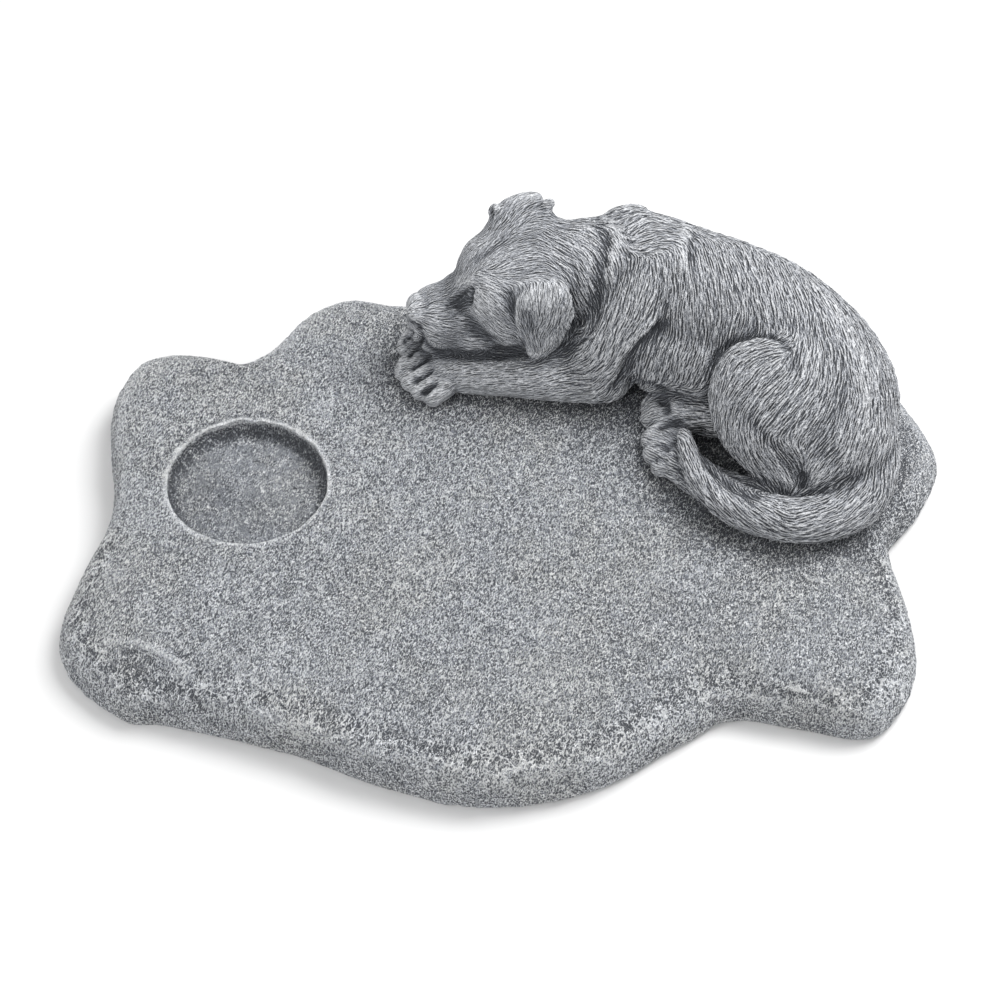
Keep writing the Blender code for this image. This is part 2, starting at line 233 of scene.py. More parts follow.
# x, y, rim height and width of the rise, anticlockwise from the right-hand lobe
PLAN = (
    (115.5, 15, 10, 26), (109.5, 1, 10.5, 24), (100, -13, 11, 24), (103, -34, 10, 26),
    (102.5, -51, 9.5, 28), (91.5, -66.5, 9, 28), (74, -64.5, 9, 28), (57, -62, 9, 32), (43, -69.5, 10, 36),
    (22, -82, 11.5, 40), (-4, -86.5, 12.5, 40), (-28, -81.4, 13, 38), (-52, -71.6, 12.5, 34),
    (-76, -65, 10.5, 28), (-85, -63, 9, 24), (-93, -62, 8, 24), (-105, -52.5, 7.5, 24),
    (-110.5, -41, 8, 24), (-108, -25, 9, 20), (-102.4, -8, 10.5, 16), (-102, 4, 11, 15),
    (-104.5, 22, 11, 15), (-104.5, 36, 11, 15), (-98.3, 46.8, 11, 15), (-86, 48, 11, 14),
    (-74, 45.4, 11, 14), (-64, 51.7, 11, 14), (-55, 63.7, 11, 15), (-44, 70, 11, 15), (-31, 68.4, 11, 15),
    (-17, 69, 11, 15), (2, 77, 11, 15), (27, 85.5, 11, 15), (52, 80, 11, 15), (72, 67, 11, 15),
    (90, 55.5, 11, 16), (103, 42, 10.5, 18), (111.5, 28, 10, 22),
)

plan = curve_through(PLAN, 12, closed=True)
plan_low, plan_high = plan[:, :2].min(axis=0), plan[:, :2].max(axis=0)
plan[:, :2] = (plan[:, :2] - (plan_low + plan_high) / 2) / (plan_high - plan_low) * [SLAB_LENGTH, SLAB_DEPTH]
plan_turn = np.arctan2(plan[:, 1], plan[:, 0])
order = np.argsort(plan_turn)
plan_turn, plan_reach, plan_rim, plan_rise = (
    row[order] for row in (plan_turn, np.hypot(plan[:, 0], plan[:, 1]), plan[:, 2], plan[:, 3])
)


def at_turn(turn, row):
    """A value of the plan in a direction, read between the measured directions."""
    return np.interp(turn, plan_turn, row, period=2 * math.pi)


def from_rim(points):
    """How far each place lies in from the edge, along the line to the middle."""
    return at_turn(np.arctan2(points[:, 1], points[:, 0]), plan_reach) - np.hypot(points[:, 0], points[:, 1])


print("plan:", len(plan), "places,", plan_reach.min().round(1), "to", plan_reach.max().round(1), "mm out")

# %% [markdown]
# Behind a rolled rim the top rises gently in a crown. A polar grid would crowd its points at the middle,
# so the top is a square grid whose squares are bent into rings: the points stay about evenly apart, and
# the last ring lies on the rim. More rings then roll over the rim down to the ground, and close below.

# %% The slab's surface
TOP_CELLS = 130
ROLL_TURNS = np.radians([78, 66, 54, 43, 33, 24, 16, 9, 3, 0])
# inset and height of the rings below the widest line
FOOT = ((0.12, 1.5), (0.5, 0.8), (1.1, 0.25), (1.8, 0.0))


def slab_height(inset, turn):
    """Height at a distance in from the widest line: a rolled rim, (1 - (1 - q)^n)^(1/n) of its height,
    plus a crown, 1 - (1 - p)^2 of what is left, where q and p are shares of the roll and of the rise."""
    q = np.clip(inset / RIM_ROLL, 0, 1)
    p = np.clip(inset / at_turn(turn, plan_rise), 0, 1)
    rim = at_turn(turn, plan_rim)
    roll = (1 - (1 - q) ** RIM_SQUARENESS) ** (1 / RIM_SQUARENESS)
    return WIDEST_AT + (rim - WIDEST_AT) * roll + (SLAB_TOP - rim) * (1 - (1 - p) ** 2)


def bent_square(cells):
    """A square grid of a and b from -1 to 1, bent into a disc: the larger of the two in size is the share
    of the way to the rim, and the smaller turns the direction by up to 45 degrees each way."""
    side = np.linspace(-1, 1, 2 * cells + 1)
    a, b = np.meshgrid(side, side, indexing="ij")
    share = np.maximum(np.abs(a), np.abs(b))
    safe = np.where(share == 0, 1, share)
    turn = np.where(
        np.abs(a) >= np.abs(b), np.pi / 4 * b / safe * np.sign(a) + np.where(a < 0, np.pi, 0),
        np.pi / 2 * np.sign(b) - np.pi / 4 * a / safe * np.sign(b),
    )
    return share, turn


def slab_surface(cells):
    """The bent square for the top, then rings in the directions of its border: out by the roll's inset,
    R (1 - cos(w)^(2/n)) for each turn w, and down to the foot. Returns points and faces."""
    share, turn = bent_square(cells)
    reach = at_turn(turn, plan_reach) - RELIEF_ROOM
    distance = share * (reach - RIM_ROLL)
    height = slab_height(reach - distance, turn)
    top = np.stack([distance * np.cos(turn), distance * np.sin(turn), height], -1)
    number = np.arange(share.size).reshape(share.shape)
    corners = [number[:-1, :-1], number[1:, :-1], number[1:, 1:], number[:-1, 1:]]
    rings, faces = [top.reshape(-1, 3)], [np.stack(corners, -1).reshape(-1, 4)]
    last = np.concatenate([number[:-1, 0], number[-1, :-1], number[:0:-1, -1], number[0, :0:-1]])
    turn, count = turn.ravel()[last], share.size
    reach = at_turn(turn, plan_reach) - RELIEF_ROOM
    insets = RIM_ROLL * (1 - np.cos(ROLL_TURNS) ** (2 / RIM_SQUARENESS))
    for inset, height in [(inset, None) for inset in insets] + list(FOOT):
        z = slab_height(inset, turn) if height is None else np.full(len(turn), height)
        rings.append(np.column_stack([(reach - inset) * np.cos(turn), (reach - inset) * np.sin(turn), z]))
        fresh = count + np.arange(len(last))
        faces.append(np.column_stack([last, fresh, np.roll(fresh, -1), np.roll(last, -1)]))
        last, count = fresh, count + len(fresh)
    rings.append(np.zeros((1, 3)))
    faces.append(np.column_stack([last, np.full(len(last), count), np.roll(last, -1)]))
    return np.vstack(rings), faces


slab_points, slab_faces = slab_surface(TOP_CELLS)
print("slab:", len(slab_points), "points, widest", np.ptp(slab_points, axis=0).round(1))

# %% [markdown]
# The casting's skin is not a smooth surface. It has slow undulations that a hand could feel, lumps of a
# few millimetres where the master was modelled, and grain. The slow forms and the lumps are worked into
# the mesh here. The grain is finer than the mesh, and is left to the material.
# Relief only cuts into the edge, never out of it, so that the slab keeps its length and depth.

# %% The slab's relief
RECESS_RADIUS = 20.6
RECESS_SQUASH = np.array([1.0, 0.955])
RECESS_DEPTH = 4.3
RECESS_MIDDLE = np.array([-0.299 * SLAB_LENGTH, 0.0075 * SLAB_DEPTH])
# height, size and seed of each noise
STONE_WAVES = ((0.35, 34, 1), (0.22, 13, 2), (0.2, 5.5, 3), (0.15, 2.6, 4), (0.1, 1.1, 6))
STONE_RIDGES = (0.2, 1.9, 5)
LIP_WAVES = ((0.6, 2.4, 7),)
RUBBLE_WAVES = ((0.5, 3.1, 12), (0.55, 1.7, 13))
EDGE_CUT = 1.2
# how far outside the recess and inside the rim the raised parts lie, and how wide they are
LIP_GAP, LIP_WIDTH = 0.6, 1.1
RUBBLE_GAP, RUBBLE_WIDTH = 0.5, 2.2


def ridged(points, height, size, seed):
    """Ridges where a noise crosses nought: height * (1 - 2 |noise|)."""
    return height * (1 - 2 * np.abs(noise(points, size, seed)))


def from_recess(points):
    """Distance from the recess's middle, in which its oval counts as round."""
    return np.hypot(*((points[:, :2] - RECESS_MIDDLE) / RECESS_SQUASH).T)


def behind_recess(points):
    """0 at the recess's middle and in front of it, 1 behind it."""
    return np.clip((points[:, 1] - RECESS_MIDDLE[1]) / RECESS_RADIUS, 0, 1)


def in_front(points, least):
    """1 along the front of the slab, less towards the back."""
    return np.clip(0.3 - points[:, 1] / 30, least, 1)


edge_gap = from_rim(slab_points)
relief = waves(slab_points, STONE_WAVES) + ridged(slab_points, *STONE_RIDGES)
lip = swell(from_recess(slab_points), RECESS_RADIUS + LIP_GAP, LIP_WIDTH)
lip *= 0.25 + behind_recess(slab_points) * (0.35 + waves(slab_points, LIP_WAVES))
rubble = swell(edge_gap, RIM_ROLL + RUBBLE_GAP, RUBBLE_WIDTH) * in_front(slab_points, 0.25)
rubble *= waves(slab_points, RUBBLE_WAVES)
on_top = np.clip((edge_gap - 1) / RIM_ROLL, 0, 1)
grounded = slab_points[:, 2] < 0.3
outward = slab_points[:, :2] / np.maximum(np.hypot(slab_points[:, 0], slab_points[:, 1]), 1)[:, None]
slab_points[:, 2] += np.where(grounded, 0, on_top * (relief * 0.8 + lip + rubble))
cut = np.where(grounded, 0, (1 - on_top) * np.clip(relief - 0.3, -EDGE_CUT, RELIEF_ROOM - 0.02))
slab_points[:, :2] += outward * cut[:, None]
slab = mesh_object("stone_slab", slab_points, slab_faces)
print("relief, mm:", relief.min().round(2), "to", relief.max().round(2))

# %% [markdown]
# The recess is cut with a Boolean: a closed drum with a rough floor and a wall that wanders a little, as
# a hand-made master has. Blender's Manifold solver does this quickly, because both shapes are closed.

# %% The recess
FLOOR_ROUND = 2.4
FLOOR_TURNS = np.radians([12, 24, 36, 48, 60, 72, 82])
WALL_ROWS = 12
WALL_LEAN = 0.03
WALL_WAVES = ((0.45, 16, 8), (0.2, 4, 14))
FLOOR_WAVES = ((0.16, 3.2, 9),)
FLOOR_RIDGES = (0.12, 1.5, 10)


def drum(radius, low, high, sides=300, floor_rings=34):
    """Rings of a disc out to the radius, up a quarter circle, then up the wall to a flat lid. The radius
    wanders by a noise of the direction, and the floor's height by a noise of the place."""
    turn = np.arange(sides) * 2 * math.pi / sides
    circle = np.column_stack([np.cos(turn), np.sin(turn), turn * 0]) * radius
    wander = waves(circle, WALL_WAVES)
    rows = [(share * (radius - FLOOR_ROUND), low) for share in np.linspace(0.03, 1, floor_rings)]
    rows += [(radius - FLOOR_ROUND * (1 - math.sin(w)), low + FLOOR_ROUND * (1 - math.cos(w)))
             for w in FLOOR_TURNS]
    top_of_round = low + FLOOR_ROUND
    rows += [(radius + WALL_LEAN * k, top_of_round + k * (high - top_of_round) / WALL_ROWS)
             for k in range(WALL_ROWS + 1)]
    far, z = np.array(rows).T[:, :, None]
    reach = far * (1 + wander / radius)
    points = np.stack([
        RECESS_MIDDLE[0] + reach * np.cos(turn), RECESS_MIDDLE[1] + reach * np.sin(turn) * RECESS_SQUASH[1],
        z + 0 * reach,
    ], -1).reshape(-1, 3)
    rough = waves(points, FLOOR_WAVES) + ridged(points, *FLOOR_RIDGES)
    on_floor = points[:, 2] <= low + FLOOR_ROUND
    points[:, 2] += np.where(on_floor, rough, 0)
    number = np.arange(len(points)).reshape(len(rows), sides)
    ring = np.stack([number[:-1], number[1:], np.roll(number[1:], -1, 1), np.roll(number[:-1], -1, 1)], -1)
    middle, lid = len(points), len(points) + 1
    points = np.vstack([points, [[*RECESS_MIDDLE, low], [*RECESS_MIDDLE, high]]])
    floor = np.column_stack([number[0], np.roll(number[0], -1), np.full(sides, middle)])
    cover = np.column_stack([np.roll(number[-1], -1), number[-1], np.full(sides, lid)])
    return points, [ring.reshape(-1, 4)[:, ::-1], floor[:, ::-1], cover[:, ::-1]]


def applied(thing, name):
    """A new object whose mesh is the first one's with its modifiers applied. The first is removed."""
    bpy.context.view_layer.update()
    graph = bpy.context.evaluated_depsgraph_get()
    mesh = bpy.data.meshes.new_from_object(thing.evaluated_get(graph))
    made = new_object(name, mesh)
    bpy.data.objects.remove(thing)
    mesh.name = name
    return made


def face_out(thing):
    """Turns every face outwards."""
    shape = bmesh.new()
    shape.from_mesh(thing.data)
    bmesh.ops.recalc_face_normals(shape, faces=shape.faces)
    shape.to_mesh(thing.data)
    shape.free()


cutter = mesh_object("recess_cutter", *drum(RECESS_RADIUS, SLAB_TOP - RECESS_DEPTH, SLAB_TOP + 4))
for thing in (slab, cutter):
    face_out(thing)
carve = slab.modifiers.new("recess", "BOOLEAN")
carve.operation, carve.solver, carve.object = "DIFFERENCE", "MANIFOLD", cutter
slab.name = "slab_uncut"
slab = applied(slab, "stone_slab")
bpy.data.objects.remove(cutter)
shade_smooth(slab.data)
print("slab with recess:", triangles(slab), "triangles")

# %% [markdown]
# The dog is built as a sculptor builds one: rounded masses first, then the creases, then the coat. Each
# mass is either an elliptical ring carried along a path through measured stations, or a stretched ball.
# A station is a place in millimetres, counted up from the slab's top, with a half width and half height.

# %% Masses for the dog
class Masses:
    """Gathers the points and faces of closed forms that overlap."""

    def __init__(self):
        self.points, self.faces, self.count = [], [], 0

    def add(self, points, faces):
        """Takes in one more closed form."""
        self.points.append(points)
        self.faces += [block + self.count for block in faces]
        self.count += len(points)

    def make(self, name):
        """All the forms as one mesh object."""
        return mesh_object(name, np.vstack(self.points), self.faces)


def tube_faces(rings, sides):
    """Quads between neighbouring rings, and a fan of triangles to a tip at each end."""
    number = np.arange(rings * sides).reshape(rings, sides)
    quads = np.stack([number[:-1], np.roll(number[:-1], -1, 1), np.roll(number[1:], -1, 1), number[1:]], -1)
    start = np.column_stack([np.roll(number[0], -1), number[0], np.full(sides, number.size)])
    finish = np.column_stack([number[-1], np.roll(number[-1], -1), np.full(sides, number.size + 1)])
    return [quads.reshape(-1, 4), start, finish]


print("a tube of 3 rings of 8:", sum(len(block) for block in tube_faces(3, 8)), "faces")

# %% [markdown]
# A leg, the neck or the tail is a ring carried along a smooth path. Blender can bevel a curve in the same
# way, but only with one round section. Here the ring may be wider than high, or squarish as a muzzle is.

# %% A limb
CAP_TURNS = np.radians([80, 64, 46, 28, 12])


def unit(rows):
    """Arrows of length one."""
    return rows / np.linalg.norm(rows, axis=-1, keepdims=True)


def limb(stations, sides=28, steps=6, squareness=2.0, width_way=None):
    """A ring at each point of a smooth path: centre + width W cos^(2/n) + height H sin^(2/n), where W is
    level or along width_way, and both are square to the path. Shrinking rings round off each end."""
    rows = curve_through(stations, steps)
    centre, wide, tall = rows[:, :3], rows[:, 3], rows[:, 4]
    along = unit(np.gradient(centre, axis=0))
    across = np.cross(along, [0.0, 0.0, 1.0]) if width_way is None else np.tile(width_way, (len(rows), 1))
    across = unit(across - along * np.sum(across * along, axis=1, keepdims=True))
    upward = np.cross(across, along)
    caps, backwards = len(CAP_TURNS), CAP_TURNS[::-1]
    ring_of = np.concatenate([np.zeros(caps, int), np.arange(len(rows)), np.full(caps, len(rows) - 1)])
    shrink = np.concatenate([np.cos(CAP_TURNS), np.ones(len(rows)), np.cos(backwards)])
    push = np.concatenate([-np.sin(CAP_TURNS), np.zeros(len(rows)), np.sin(backwards)])
    blunt = np.minimum(wide, tall)
    middle = centre[ring_of] + along[ring_of] * (push * blunt[ring_of])[:, None]
    turn = np.arange(sides) * 2 * math.pi / sides
    w, h = (np.sign(v) * np.abs(v) ** (2 / squareness) for v in (np.cos(turn), np.sin(turn)))
    rings = (
        middle[:, None] + (across[ring_of] * (wide[ring_of] * shrink)[:, None])[:, None] * w[:, None]
        + (upward[ring_of] * (tall[ring_of] * shrink)[:, None])[:, None] * h[:, None]
    )
    tips = [centre[0] - along[0] * blunt[0], centre[-1] + along[-1] * blunt[-1]]
    return np.vstack([rings.reshape(-1, 3), tips]), tube_faces(len(rings), sides)


print("a limb of 2 stations:", len(limb(((0, 0, 0, 5, 5), (20, 0, 0, 4, 4)))[0]), "points")

# %% [markdown]
# The thigh, the cheeks and the shoulder blades are rounder than a limb, so they are stretched balls.

# %% A ball
def turned(yaw, pitch, roll):
    """Turns about up, then across, then along, as one matrix."""
    y, p, r = np.radians([yaw, pitch, roll])
    about_z = np.array([[np.cos(y), -np.sin(y), 0], [np.sin(y), np.cos(y), 0], [0, 0, 1]])
    about_y = np.array([[np.cos(p), 0, np.sin(p)], [0, 1, 0], [-np.sin(p), 0, np.cos(p)]])
    about_x = np.array([[1, 0, 0], [0, np.cos(r), -np.sin(r)], [0, np.sin(r), np.cos(r)]])
    return about_z @ about_y @ about_x


def ball(mass, sides=40, rings=20):
    """A ball by latitude and longitude, stretched to its half sizes and turned."""
    centre, half, turns = mass
    rise = np.linspace(-np.pi / 2, np.pi / 2, rings + 1)[1:-1]
    turn = np.arange(sides) * 2 * math.pi / sides
    grid = np.stack([
        np.cos(rise)[:, None] * np.cos(turn), np.cos(rise)[:, None] * np.sin(turn),
        np.sin(rise)[:, None] + 0 * turn,
    ], -1).reshape(-1, 3)
    grid = np.vstack([grid, [[0, 0, -1], [0, 0, 1]]]) * half @ turned(*turns).T + centre
    return grid, tube_faces(rings - 1, sides)


print("a ball:", len(ball(((0, 0, 0), (1, 1, 1), (0, 0, 0)))[0]), "points")

# %% [markdown]
# The trunk runs from the shoulders round to the rump in one curve, and the neck, throat, shoulder, legs
# and haunch are laid over it. These are the forms whose joins are soft on the real dog, because muscle
# and loose skin run over them, so they are fused and smoothed together before anything crisp is added.

# %% Trunk, neck, legs and haunch
DOG_PLACE = np.array([-0.1, 0.19, SLAB_TOP])
TRUNK = (
    (18, 52, 19.5, 12.5, 14.5), (32, 52, 20, 16.6, 20.4), (46, 46, 19.6, 18, 20.4),
    (57, 41.5, 19, 18.2, 20), (68, 35.5, 18.2, 17.4, 19.9), (77.5, 26.2, 17, 16.8, 18.7),
    (83.5, 16.5, 15, 15.4, 17.2), (85, 5, 12, 12.5, 14),
)
NECK = ((32, 52, 23, 15, 16.5), (20, 52, 23, 14.2, 15.6), (9, 51.5, 23, 13.5, 14))
THROAT = ((24, 44, 11, 11, 11), (12, 44, 10, 10, 10), (2, 45, 9, 8, 8))
NEAR_ARM = (
    (21, 31.5, 7.5, 8, 7.8), (24.5, 33.5, 13.5, 9, 9.2), (30, 36.2, 20.5, 9.4, 9.6), (35, 42, 27.5, 9.6, 9.6),
    (37, 49.5, 31.5, 8.5, 8.5),
)
NEAR_FOREARM = (
    (25, 31.5, 7, 7.6, 7.2), (14, 31.5, 6.2, 6.9, 6.5), (0, 33, 5.4, 6.1, 6), (-11, 34, 4.8, 5.8, 5.4),
    (-17, 36.8, 3.8, 7.2, 4.8),
)
FAR_FOREARM = ((22, 55, 6, 7, 6.5), (4, 53, 5, 6.2, 6), (-12, 50, 4.4, 5.8, 5.2), (-19.5, 47.2, 3.8, 5, 4.4))
RIBS = ((39, 31.5, 12, 8, 11.4), (48, 31, 14, 11, 13), (58, 28, 14, 10, 13))
SHANK = (
    (57, 15, 19, 7, 8), (58.5, 9, 16.5, 7.2, 8), (62.5, 4, 12.5, 7, 7.5), (67.5, 0, 9.5, 6.4, 6.6),
    (73, -4.5, 6.5, 5.6, 5.6),
)
THIGH = ((71.5, 13, 18.5), (21.5, 20.5, 13.5), (0, 0, 38))
HAUNCH = ((78, 1, 9.5), (12, 10, 10), (0, 0, 0))
SHOULDER_BLADES = (
    ((36, 48.5, 31), (10, 7.5, 9), (20, 0, 30)), ((31, 58.5, 28), (10, 7.5, 10.5), (0, 0, -30)),
)

body = Masses()
for stations in (TRUNK, NECK, THROAT, NEAR_ARM, NEAR_FOREARM, FAR_FOREARM, RIBS, SHANK):
    body.add(*limb(stations))
for mass in (THIGH, HAUNCH, *SHOULDER_BLADES):
    body.add(*ball(mass))
print("body:", body.count, "points")

# %% [markdown]
# The head has a frame of its own: forward to the nose, left, and up. It lies on the forelegs with its nose
# turned a little to the viewer and down. The same numbers serve both sides, with left made right.

# %% The head
HEAD_PLACE = np.array([0.5, 49.2, 22.0])
HEAD_TURN = turned(192, 14, 0)
HEAD_SQUARENESS = 2.5
SKULL = (
    (-10, 0, 0, 13, 13), (-4, 0, 0, 15.4, 14.6), (1, 0, -0.5, 16, 15.2), (5, 0, -2.5, 14.2, 13.4),
    (8.5, 0, -4.4, 11.8, 11.8), (13, 0, -4.8, 10.8, 11.2), (17, 0, -4.6, 10, 10.3), (20.8, 0, -3.5, 9, 9),
)
BROW = ((4, 6.8, 8.9), (4.8, 5.2, 4.8), (0, 0, 0))
CHEEK = ((2.8, 9.6, -0.2), (7.5, 7, 9), (0, 0, 0))
JOWL = ((11, 6.4, -5.6), (9, 6, 7), (0, 0, 0))
NOSE = ((25, 0, 1.6), (3.6, 5.4, 4.8), (0, 0, 0))
CROWN = ((-6.0, 8.5, 8.2), (10, 8.5, 7.2), (0, 0, 0))
EAR = (
    (-9, 10, 6, 5.6, 3.2), (-8.4, 13, 9, 6, 3.3), (-7.6, 15.6, 8.6, 7.0, 2.8), (-6, 17.2, 4.2, 7.4, 2.3),
    (-4.4, 17.6, -0.8, 6.0, 2.1), (-2.6, 17.4, -5.2, 4.6, 2), (-0.9, 17, -8.4, 3.0, 1.9),
)
FAR_EAR = (
    (-10, -9.5, 8.5, 6, 3.2), (-9, -12.8, 12, 6.4, 3.4), (-7.8, -15.6, 11.8, 7.4, 2.8),
    (-6, -17.2, 6.5, 7.4, 2.3), (-4, -17.6, 0.5, 6.4, 2.1), (-1.8, -17.4, -5, 4.8, 2),
    (0, -17, -9, 2.6, 1.8),
)
EAR_WIDTH_WAY = np.array([-0.95, 0.2, -0.24])
FAR_LOBE = ((10.4, 62.3, 39.3, 2.0, 2.2), (8.5, 61, 36.6, 2.8, 2.8), (6.5, 60, 34, 3, 3))
FAR_CUP = ((-4.6, 61.2, 37.4, 2.5, 3.0), (-2.5, 60.6, 36.0, 3.2, 3.2), (1, 59.8, 34, 3, 3))
ACROSS = np.array([1, -1, 1])


def on_head(form):
    """Moves a form from the head's frame to the slab's."""
    points, faces = form
    return points @ HEAD_TURN.T + HEAD_PLACE, faces


def other_side(mass):
    """The same ball on the other side of the head."""
    centre, half, (yaw, pitch, roll) = mass
    return (tuple(np.array(centre) * ACROSS), half, (-yaw, pitch, -roll))


body.add(*on_head(limb(SKULL, squareness=HEAD_SQUARENESS)))
body.add(*on_head(ball(other_side(CROWN))))
for mass in (BROW, CHEEK, JOWL):
    body.add(*on_head(ball(mass)))
    body.add(*on_head(ball(other_side(mass))))
print("body with the head:", body.count, "points")

# %% [markdown]
# Ears, nose, tail, feet and toes have thin edges and clear joins on the real dog, so they stay crisp and
# join the soft body afterwards. A paw is a flat pad with a row of squarish toes that bend down at the tip.
# The upright parts of the far ear that show over the crown are two short limbs rooted in it.

# %% Ears, nose, tail, feet and toes
NEAR_HIND_FOOT = (
    (74, -5, 4, 4.8, 4.6), (61, -5.5, 3.6, 4.8, 4.2), (51, -2.5, 3.8, 5.2, 4.6), (43, 4.5, 3.8, 5, 4.8),
)
FAR_HIND_FOOT = ((64, 16, 5, 5.5, 5), (53, 18, 5.5, 5, 5), (44, 20.5, 4.6, 4.8, 4.8))
TAIL = (
    (86, 17, 14, 9, 10), (90, 5, 10.5, 8.4, 9), (90.5, -3.5, 7.8, 6.8, 7.4), (86, -11, 6.2, 6.2, 6.4),
    (76, -15, 5.6, 5.8, 6), (66, -14.3, 5.6, 5.6, 5.8), (56.5, -10.5, 6, 5.2, 5.4), (49.5, -4.3, 7.2, 4.6, 4.6),
    (46, 2.2, 8.6, 3.6, 3.6), (44.3, 9, 9.2, 2, 2),
)
TOE_RADIUS = 2.95
TOE_RISE = 2.9
TOE_SQUARENESS = 2.6
# rise and share of the toe's length, then the share of its radius in width and height
TOE_STATIONS = ((0.9, -0.55, 0.95, 1.05), (0.7, 0.5, 1.05, 1.1), (-0.5, 1.0, 0.9, 0.9))
PAD_MARGIN = 2.4
PAD_HEIGHT = 3.4
# middle of the paw, half spread across it, the way the toes point in degrees, number and length of toes
PAWS = (
    ((-20.3, 35.5), 5.9, 222.0, 4, 6.4), ((-22.9, 46.4), 2.0, 220.0, 2, 5.6),
    ((41, 21), 3.6, 190.0, 3, 4.6), ((41, 9.5), 4.4, 195.0, 3, 4.6),
)

crisp = Masses()
for stations in (TAIL, NEAR_HIND_FOOT, FAR_HIND_FOOT):
    crisp.add(*limb(stations))
crisp.add(*on_head(ball(NOSE)))
for stations in (FAR_LOBE, FAR_CUP):
    crisp.add(*limb(stations))
crisp.add(*on_head(limb(EAR, width_way=EAR_WIDTH_WAY)))
crisp.add(*on_head(limb(FAR_EAR, width_way=EAR_WIDTH_WAY * ACROSS)))
for (x, y), spread, heading, toes, length in PAWS:
    forward = np.array([math.cos(math.radians(heading)), math.sin(math.radians(heading)), 0])
    sideways = np.array([-forward[1], forward[0], 0])
    pad_at = np.array([x, y, TOE_RISE - 0.2]) + forward * length * 0.25
    crisp.add(*ball((pad_at, (length * 0.8, spread + PAD_MARGIN, PAD_HEIGHT), (heading, 0, 0))))
    for offset in np.linspace(-spread, spread, toes):
        reach = length * (1.0 - 0.18 * (offset / spread) ** 2)
        stations = [
            (*(np.array([x, y, TOE_RISE + rise]) + sideways * offset + forward * reach * share),
             TOE_RADIUS * wide, TOE_RADIUS * tall) for rise, share, wide, tall in TOE_STATIONS
        ]
        crisp.add(*limb(stations, sides=16, squareness=TOE_SQUARENESS))
print("crisp forms:", crisp.count, "points")

# %% [markdown]
# Remesh in voxel mode wraps one skin round all the overlapping masses. The soft forms get it first, with
# many passes of smoothing. The crisp forms are added to the result, and it is wrapped again, with few.

# %% Fuse the masses
SOFT_VOXEL, SOFT_PASSES = 0.8, 10
SKIN_VOXEL, SKIN_PASSES = (0.575), 5


def wrap(thing, name, voxel, passes):
    """One closed skin round overlapping forms, then smoothed."""
    skin = thing.modifiers.new("wrap", "REMESH")
    skin.mode, skin.voxel_size = "VOXEL", voxel * MM
    ease = thing.modifiers.new("ease", "SMOOTH")
    ease.factor, ease.iterations = 0.5, passes
    return applied(thing, name)


soft = wrap(body.make("soft_masses"), "soft_forms", SOFT_VOXEL, SOFT_PASSES)
both = bmesh.new()
both.from_mesh(soft.data)
crisp_object = crisp.make("crisp_masses")
both.from_mesh(crisp_object.data)
both.to_mesh(soft.data)
both.free()
bpy.data.objects.remove(crisp_object)
dog = wrap(soft, "sleeping_dog", SKIN_VOXEL, SKIN_PASSES)
put(dog, places(dog) + DOG_PLACE)
print("dog:", len(dog.data.vertices), "points, size", np.ptp(places(dog), axis=0).round(1))

# %% [markdown]
# The underside of the dog is hidden in the slab. It is pressed flat just below the slab's top, and the
# many small faces of the flat are dissolved into a few, so that the detail goes where it can be seen.

# %% Flatten the hidden underside
SUNK = 1.5

points = places(dog)
points[:, 2] = np.maximum(points[:, 2], SLAB_TOP - SUNK)
put(dog, points)
flat = bmesh.new()
flat.from_mesh(dog.data)
level = (SLAB_TOP - SUNK) * MM + 1e-7
low_edges = [e for e in flat.edges if max(v.co.z for v in e.verts) < level]
low_points = [v for v in flat.verts if v.co.z < level]
bmesh.ops.dissolve_limit(flat, angle_limit=0.01, edges=low_edges, verts=low_points)
bmesh.ops.triangulate(flat, faces=[f for f in flat.faces if len(f.verts) > 4])
bmesh.ops.recalc_face_normals(flat, faces=flat.faces)
flat.to_mesh(dog.data)
flat.free()
shade_smooth(dog.data)
print("dog:", triangles(dog), "triangles")

# %% [markdown]
# Creases and folds are placed from the photograph, as marks in its 1000-pixel frame. A line of sight goes from
# the camera through each mark, and the place where it first meets the surface is the mark's place in space.
# Places typed in millimetres would do as well, but are harder to judge by eye.

# %% Marks on the surface
SIGHT = FRAME_SIZE * CAMERA_LENS / CAMERA_SENSOR


def seen_at(thing, marks):
    """The first meeting of each line of sight, camera + t * (sight * away + right * u + up * v), with the
    surface."""
    tree = BVHTree.FromPolygons(places(thing).tolist(), [tuple(p.vertices) for p in thing.data.polygons])
    middle = FRAME_SIZE / 2
    found = []
    for u, v in marks:
        ray = away * SIGHT + right * (u - middle) + up * (middle - v)
        hit = tree.ray_cast(Vector(eye), Vector(ray).normalized())[0]
        if hit is None:
            hit = tree.find_nearest(Vector(eye + ray / SIGHT * CAMERA_DISTANCE))[0]
        found.append(hit)
    return np.array(found)


def near_line(points, line, reach):
    """Distance from each point to a curve through the line's places, for the points within reach. The
    curve is sampled closely and the nearest sample counts."""
    dense = curve_through(line, 14) if len(line) > 2 else np.linspace(line[0], line[-1], 30)
    inside = np.all((points > dense.min(axis=0) - reach) & (points < dense.max(axis=0) + reach), axis=1)
    which = np.flatnonzero(inside)
    gap = np.linalg.norm(points[which, None] - dense[None], axis=2)
    best = gap.argmin(axis=1)
    return which, gap[np.arange(len(which)), best], best / (len(dense) - 1)


print("the middle of the frame meets the slab at, mm:", seen_at(slab, [(500, 500)]).round(1))

# %% [markdown]
# Where an ear grows out of the skull there is no step, so the joins of the ears are eased first: near a
# line of marks, each point moves towards the mean of its neighbours.

